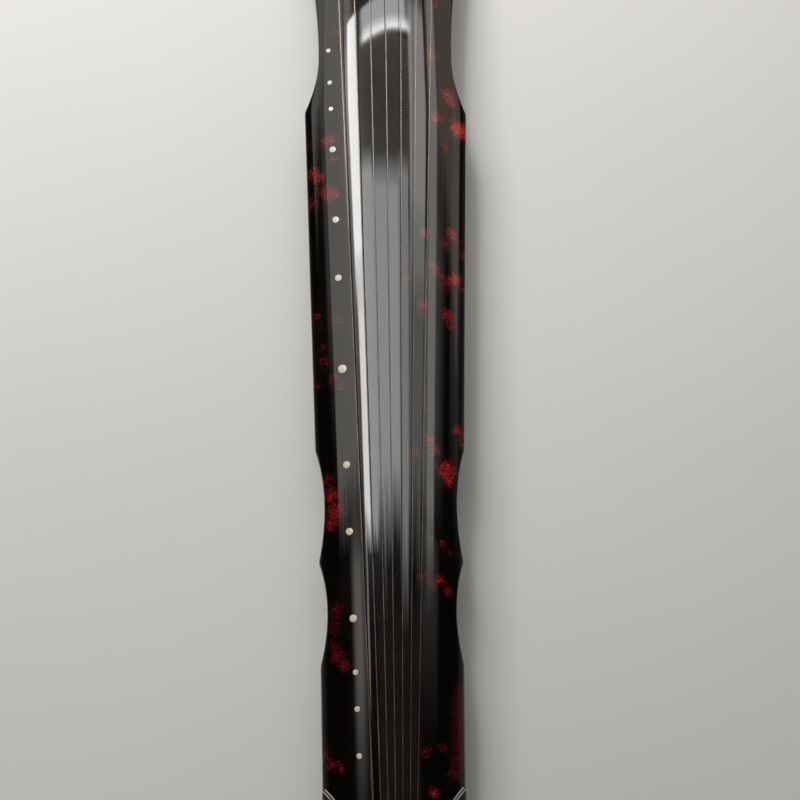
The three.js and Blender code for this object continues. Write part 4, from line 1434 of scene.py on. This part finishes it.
def makeMarker(number):
    node = f"hui_marker_{number:02d}"
    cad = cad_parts[node].data
    centre = sum((vert.co for vert in cad.vertices), Vector()) / len(cad.vertices)
    normal = surfaceNormal(centre.x, centre.y)
    reach = max((vert.co - centre).length for vert in cad.vertices)
    thickness = 2 * max(abs((vert.co - centre).dot(normal)) for vert in cad.vertices)
    form = discForm(math.sqrt(reach**2 - (thickness / 2) ** 2), thickness, markers["segments"])
    softenEdges(form, **markers["edge"])
    rotate(form, normal.to_track_quat("Z", "Y").to_matrix())
    move(form, centre)
    finishPiece(f"shellMarker_{number:02d}", form, "shell", [node])


for number in range(1, markers["count"] + 1):
    makeMarker(number)
print("markers made")

# Tail: nuts, crowns and their beads

nuts = {
    "chamfer": 0.0006,
    "steps": 24,
    "lowerSteps": 2,
    "edge": {"width": 0.0005, "segments": 3, "angle": 60},
}


def makeTailNuts():
    chamfer, steps = nuts["chamfer"], strings["turnSteps"]
    radius, low = strings["nutRounding"], strings["lowerRounding"]

    def section(y):
        high = tailNutTop(y)
        arc = arcPoints((tailFaceX + radius, high - radius), radius, math.pi / 2, math.pi, steps)
        return [(tailFaceX, tailNutLowZ), (tailNutX, tailNutLowZ), (tailNutX, high - chamfer),
                (tailNutX - chamfer, high), *arc]

    def lowerSection(y):
        high = tailNutLowZ - fitGap
        arc = arcPoints((tailFaceX + low, lowerNutZ + low), low, math.pi, 1.5 * math.pi, steps)
        return [(lowerNutX, high), (tailFaceX, high), *arc, (lowerNutX, lowerNutZ)]

    form = sectionForm(across(fittings["tailNutSpan"], nuts["steps"]), section)
    softenEdges(form, **nuts["edge"], chosen=lambda edge: lowest(edge) > tailNutLowZ + fitGap)
    finishPiece("tailNut", form, "dark_hardwood", ["tail_nut"])
    form = sectionForm(across(fittings["tailNutSpan"], nuts["lowerSteps"]), lowerSection)
    finishPiece("lowerTailNut", form, "dark_hardwood", ["lower_tail_nut"])


def makeCrown(side, label):
    raised = outlineForm(*crowns["outlineSteps"], jointZ, lambda x, y: topZ(x, y) + crowns["rise"])
    upper = carve(crownPlanForm(side, fitGap), [raised], "INTERSECT")
    form = carve(upper, [underSurfaceForm(crowns["depth"])])
    finishPiece("tailCrown_" + label, form, "dark_hardwood", ["tail_crown_" + label], sharpAngle=30)


def makeBeads(side, label):
    # two raised lines that edge the crown
    radius = crowns["beadRadius"]
    lift = crowns["rise"] - crowns["beadSink"]
    routes = []
    for step in range(2):
        edge = crownEdge(side, -step * crowns["beadSpacing"] - radius)
        line = [at for at in edge if abs(at.y) < float(halfWidth(at.x)) - radius]
        routes.append([(Vector((*at, topZ(at.x, at.y) + lift)), radius) for at in line])
    finishPiece("tailCrownBeads_" + label, tubeMesh(routes, crowns["beadSides"]), "shell", finish=paleHorn)


makeTailNuts()
for side, label in sides:
    makeCrown(side, label)
    makeBeads(side, label)
print("tail made")

# Goose feet, and the posts and blocks in the sound box, which keep their CAD shape

feet = {
    "sole": 0.025,
    "flare": 0.0265,
    "neck": 0.017,
    "collar": 0.026,
    "collarHeight": 0.005,
    "flareHeight": 0.009,
    "soleHeight": 0.002,
    "soleEdge": 0.0008,
    "bell": (0.0008, 0.0035),  # what its curve heads for, out from the neck and up from the sole
    "collarLowEdge": 0.0006,
    "collarTopEdge": 0.0005,
    "tenonLength": 0.018,
    "steps": 12,
    "segments": 72,
}


def makeFoot(side, label):
    sole, flare, neck, collar = (feet[name] / 2 for name in ("sole", "flare", "neck", "collar"))
    tenon = fittings["tenon"] / 2
    soleTop, soleEdge = feet["soleHeight"], feet["soleEdge"]
    lowEdge, topEdge = feet["collarLowEdge"], feet["collarTopEdge"]
    top = body["foot"] - fitGap
    collarLow = top - feet["collarHeight"]
    tenonTop = underZ + feet["tenonLength"]
    control = Vector((neck + feet["bell"][0], soleTop + feet["bell"][1]))
    bellEnd = Vector((neck, feet["flareHeight"] + soleTop))
    bell = bend(Vector((flare, soleTop)), control, bellEnd, feet["steps"])
    profile = [
        (0, 0),
        (sole - soleEdge, 0),
        (sole, soleEdge),
        (flare, soleTop),
        *[(at.x, at.y) for at in bell],
        (neck, collarLow),
        (collar - lowEdge, collarLow + soleTop),
        (collar, collarLow + soleTop + lowEdge),
        (collar, top - topEdge),
        (collar - topEdge, top),
        (tenon, top),
        (tenon, tenonTop),
        (0, tenonTop),
    ]
    form = turnedForm(profile, feet["segments"])
    move(form, (footX, side * footY, 0))
    finishPiece("gooseFoot_" + label, form, "dark_hardwood", ["goose_foot_" + label], finish=turnedWood)


for side, label in sides:
    makeFoot(side, label)
for node in ("heaven_post", "earth_post", "foot_block_far", "foot_block_near"):
    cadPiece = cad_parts[node]
    cadPiece.data.materials.clear()
    cadPiece.data.materials.append(finishes["raw_wood"])
print("feet made")

# Floor and light

studio = {
    "floorSize": 14.0,
    "floorColor": (0.76, 0.76, 0.737),
    "floorShade": 0.96,
    "floorClouds": 1.3,  # cells in a metre
    "lightHeight": 2.6,
    "lightStep": 0.002,  # keeps two panels that cross apart
    "raggedScale": (0.5, 8.0, 0.0),
    "fadePower": 1.4,
    "sky": (0.006, 0.006, 0.006),
    "horizon": (0.13, 0.13, 0.127),
}
white, cool, warm, brown = (1.0, 0.98, 0.96), (0.985, 0.985, 1.0), (1.0, 0.96, 0.9), (1.0, 0.8, 0.66)
# each panel of the ceiling: its name, reach along X and Y, radiance and colour; it fades out over a
# length at its tail end ("fade", with an edge as ragged as given), its head end ("start") and its two
# sides; a panel with a "turn", in degrees, is turned about its own middle after that
panels = [
    ("longStrip", (1.02, 2.62), (0.585, 0.92), 9.5, white, {"turn": 5.0, "fade": 0.3, "sides": 0.04}),
    ("longStripTail", (0.21, 1.30), (0.54, 0.80), 7.5, white,
     {"turn": 2.5, "fade": 0.14, "ragged": 0.08, "start": 0.26, "sides": 0.04}),
    ("lineLeft", (-0.62, 0.30), (0.70, 0.76), 1.6, white, {"fade": 0.3}),
    ("middleFar", (0.21, 1.72), (0.30, 0.56), 3.0, cool, {"fade": 0.10, "ragged": 0.08, "start": 0.12}),
    ("middle", (0.16, 1.68), (-0.38, 0.30), 2.7, cool, {"fade": 0.30, "ragged": 0.12, "start": 0.14}),
    ("middleFinger", (-0.02, 0.40), (0.06, 0.17), 0.85, cool, {"fade": 0.3, "ragged": 0.1, "sides": 0.04}),
    ("middleNear", (-0.05, 1.72), (-0.66, -0.38), 1.9, cool, {"fade": 0.40, "ragged": 0.16, "start": 0.12}),
    ("nearHead", (1.10, 2.98), (-1.24, -0.68), 2.1, white, {"fade": 0.47, "start": 0.3, "sides": 0.05}),
    ("nearTail", (0.10, 1.55), (-1.30, -0.66), 0.85, warm, {"fade": 0.4, "ragged": 0.2, "start": 0.25}),
    ("nearEdge", (0.05, 3.10), (-1.82, -1.28), 1.5, warm, {"fade": 0.4, "ragged": 0.1, "sides": 0.1}),
    ("nearBrown", (1.65, 5.00), (-6.0, -1.76), 0.5, brown, {"fade": 0.5, "ragged": 0.1, "sides": 0.1}),
    ("nearLow", (-0.45, 0.34), (-2.30, -0.85), 0.17, warm, {"fade": 0.5, "sides": 0.35}),
    ("nearFall", (0.65, 1.69), (-3.10, -1.44), 0.4, warm, {"turn": 90.0, "fade": 1.04, "sides": 0.4}),
    ("nearDim", (0.70, 3.20), (-8.0, -3.5), 0.14, warm, {"fade": 0.8}),
    ("farSide", (0.28, 4.60), (0.80, 2.36), 0.95, warm, {"fade": 0.3, "ragged": 0.1, "sides": 0.1}),
    ("farGlow", (1.35, 2.75), (0.90, 1.14), 1.7, white, {"fade": 0.4, "start": 0.5, "sides": 0.1}),
    ("farTail", (-0.75, 0.44), (0.74, 1.56), 0.95, warm, {"fade": 0.6, "start": 0.28, "sides": 0.3}),
    ("farHead", (2.20, 5.40), (2.28, 4.80), 0.7, warm, {"fade": 0.8}),
    ("farSoft", (0.70, 3.00), (2.05, 3.05), 0.26, warm, {"fade": 0.8, "start": 0.6, "sides": 0.4}),
    ("headEnd", (2.47, 2.72), (-0.74, 0.62), 3.6, cool, {"turn": 6.0, "sides": 0.12}),
    ("headRim", (2.44, 2.59), (-0.86, 0.60), 6.0, white,
     {"turn": 6.0, "fade": 0.05, "start": 0.09, "sides": 0.15}),
    ("headOval", (1.60, 2.46), (-0.74, 0.60), 0.33, warm, {}),
    ("tailGlow", (-0.80, 0.20), (-1.2, 0.55), 0.07, brown, {"start": 0.3, "sides": 0.2}),
]
# the key light lies past the head and far side; it is kept out of reflections, which the panels make
keyLight = ("keyLight", (1.8, 2.9), (0.5, 2.6), 14.0, white, {})


def addFloor():
    form = bmesh.new()
    bmesh.ops.create_grid(form, x_segments=8, y_segments=8, size=studio["floorSize"] / 2)
    floor = newObject("floor", meshOf("floor", form))
    finish, tree, shader = startFinish("paper", studio["floorColor"], 0.85)
    shading = noise(tree, objectPlace(tree), studio["floorClouds"])
    low = tuple(studio["floorShade"] * c for c in studio["floorColor"])
    paint(tree, shader, ramp(tree, shading, (0.3, low), (0.7, studio["floorColor"])))
    floor.data.materials.append(finish)


def shapePanel(tree, width, depth, middle, turn, shape):
    position = addNode(tree, "NewGeometry").outputs["Position"]
    inputs = {"Vector": position, "Location": middle, "Rotation": (0, 0, turn)}
    place = addNode(tree, "Mapping", inputs, vector_type="TEXTURE").outputs["Vector"]
    axes = axesOf(tree, place)
    fingers = addNode(tree, "Mapping", {"Vector": place, "Scale": studio["raggedScale"]}).outputs["Vector"]
    reach = shape.get("ragged", 0.0)
    edge = plus(tree, axes["X"], between(tree, noise(tree, fingers, 1.0, 3.0, 0.6), 0.3, 0.7, -reach, reach))
    ends = [
        (edge, -width / 2, shape.get("fade", 0.0)),
        (axes["X"], width / 2, -shape.get("start", 0.0)),
        (axes["Y"], -depth / 2, shape.get("sides", 0.0)),
        (axes["Y"], depth / 2, -shape.get("sides", 0.0)),
    ]
    strength = 1.0
    for value, start, length in ends:
        if length:
            strength = times(tree, between(tree, value, start, start + length), strength)
    strength = calc(tree, "POWER", strength, studio["fadePower"])
    tree.links.new(strength, tree.nodes["Emission"].inputs["Strength"])


def addPanel(level, name, xReach, yReach, radiance, color, shape):
    width, depth = xReach[1] - xReach[0], yReach[1] - yReach[0]
    middle = (sum(xReach) / 2, sum(yReach) / 2, studio["lightHeight"] + level * studio["lightStep"])
    turn = math.radians(shape.get("turn", 0.0))
    data = bpy.data.lights.new(name, "AREA")
    data.shape = "RECTANGLE"
    data.size, data.size_y = width, depth
    data.energy = radiance * math.pi * width * depth
    data.color = color
    if shape:
        data.use_nodes = True
        shapePanel(data.node_tree, width, depth, middle, turn, shape)
    light = newObject(name, data)
    light.location = middle
    light.rotation_euler.z = turn
    light.visible_camera = False
    return light


def addSky():
    world = bpy.data.worlds.new("studioSky")
    world.use_nodes = True
    tree = world.node_tree
    height = axesOf(tree, addNode(tree, "TexCoord").outputs["Generated"])["Z"]
    color = ramp(tree, height, (0.06, studio["horizon"]), (0.3, studio["sky"]))
    tree.links.new(color, tree.nodes["Background"].inputs["Color"])
    scene.world = world


addFloor()
for level, panel in enumerate(panels):
    addPanel(level, *panel)
addPanel(0, *keyLight).visible_glossy = False
addSky()
scene.view_settings.view_transform = "Standard"
print("studio made")
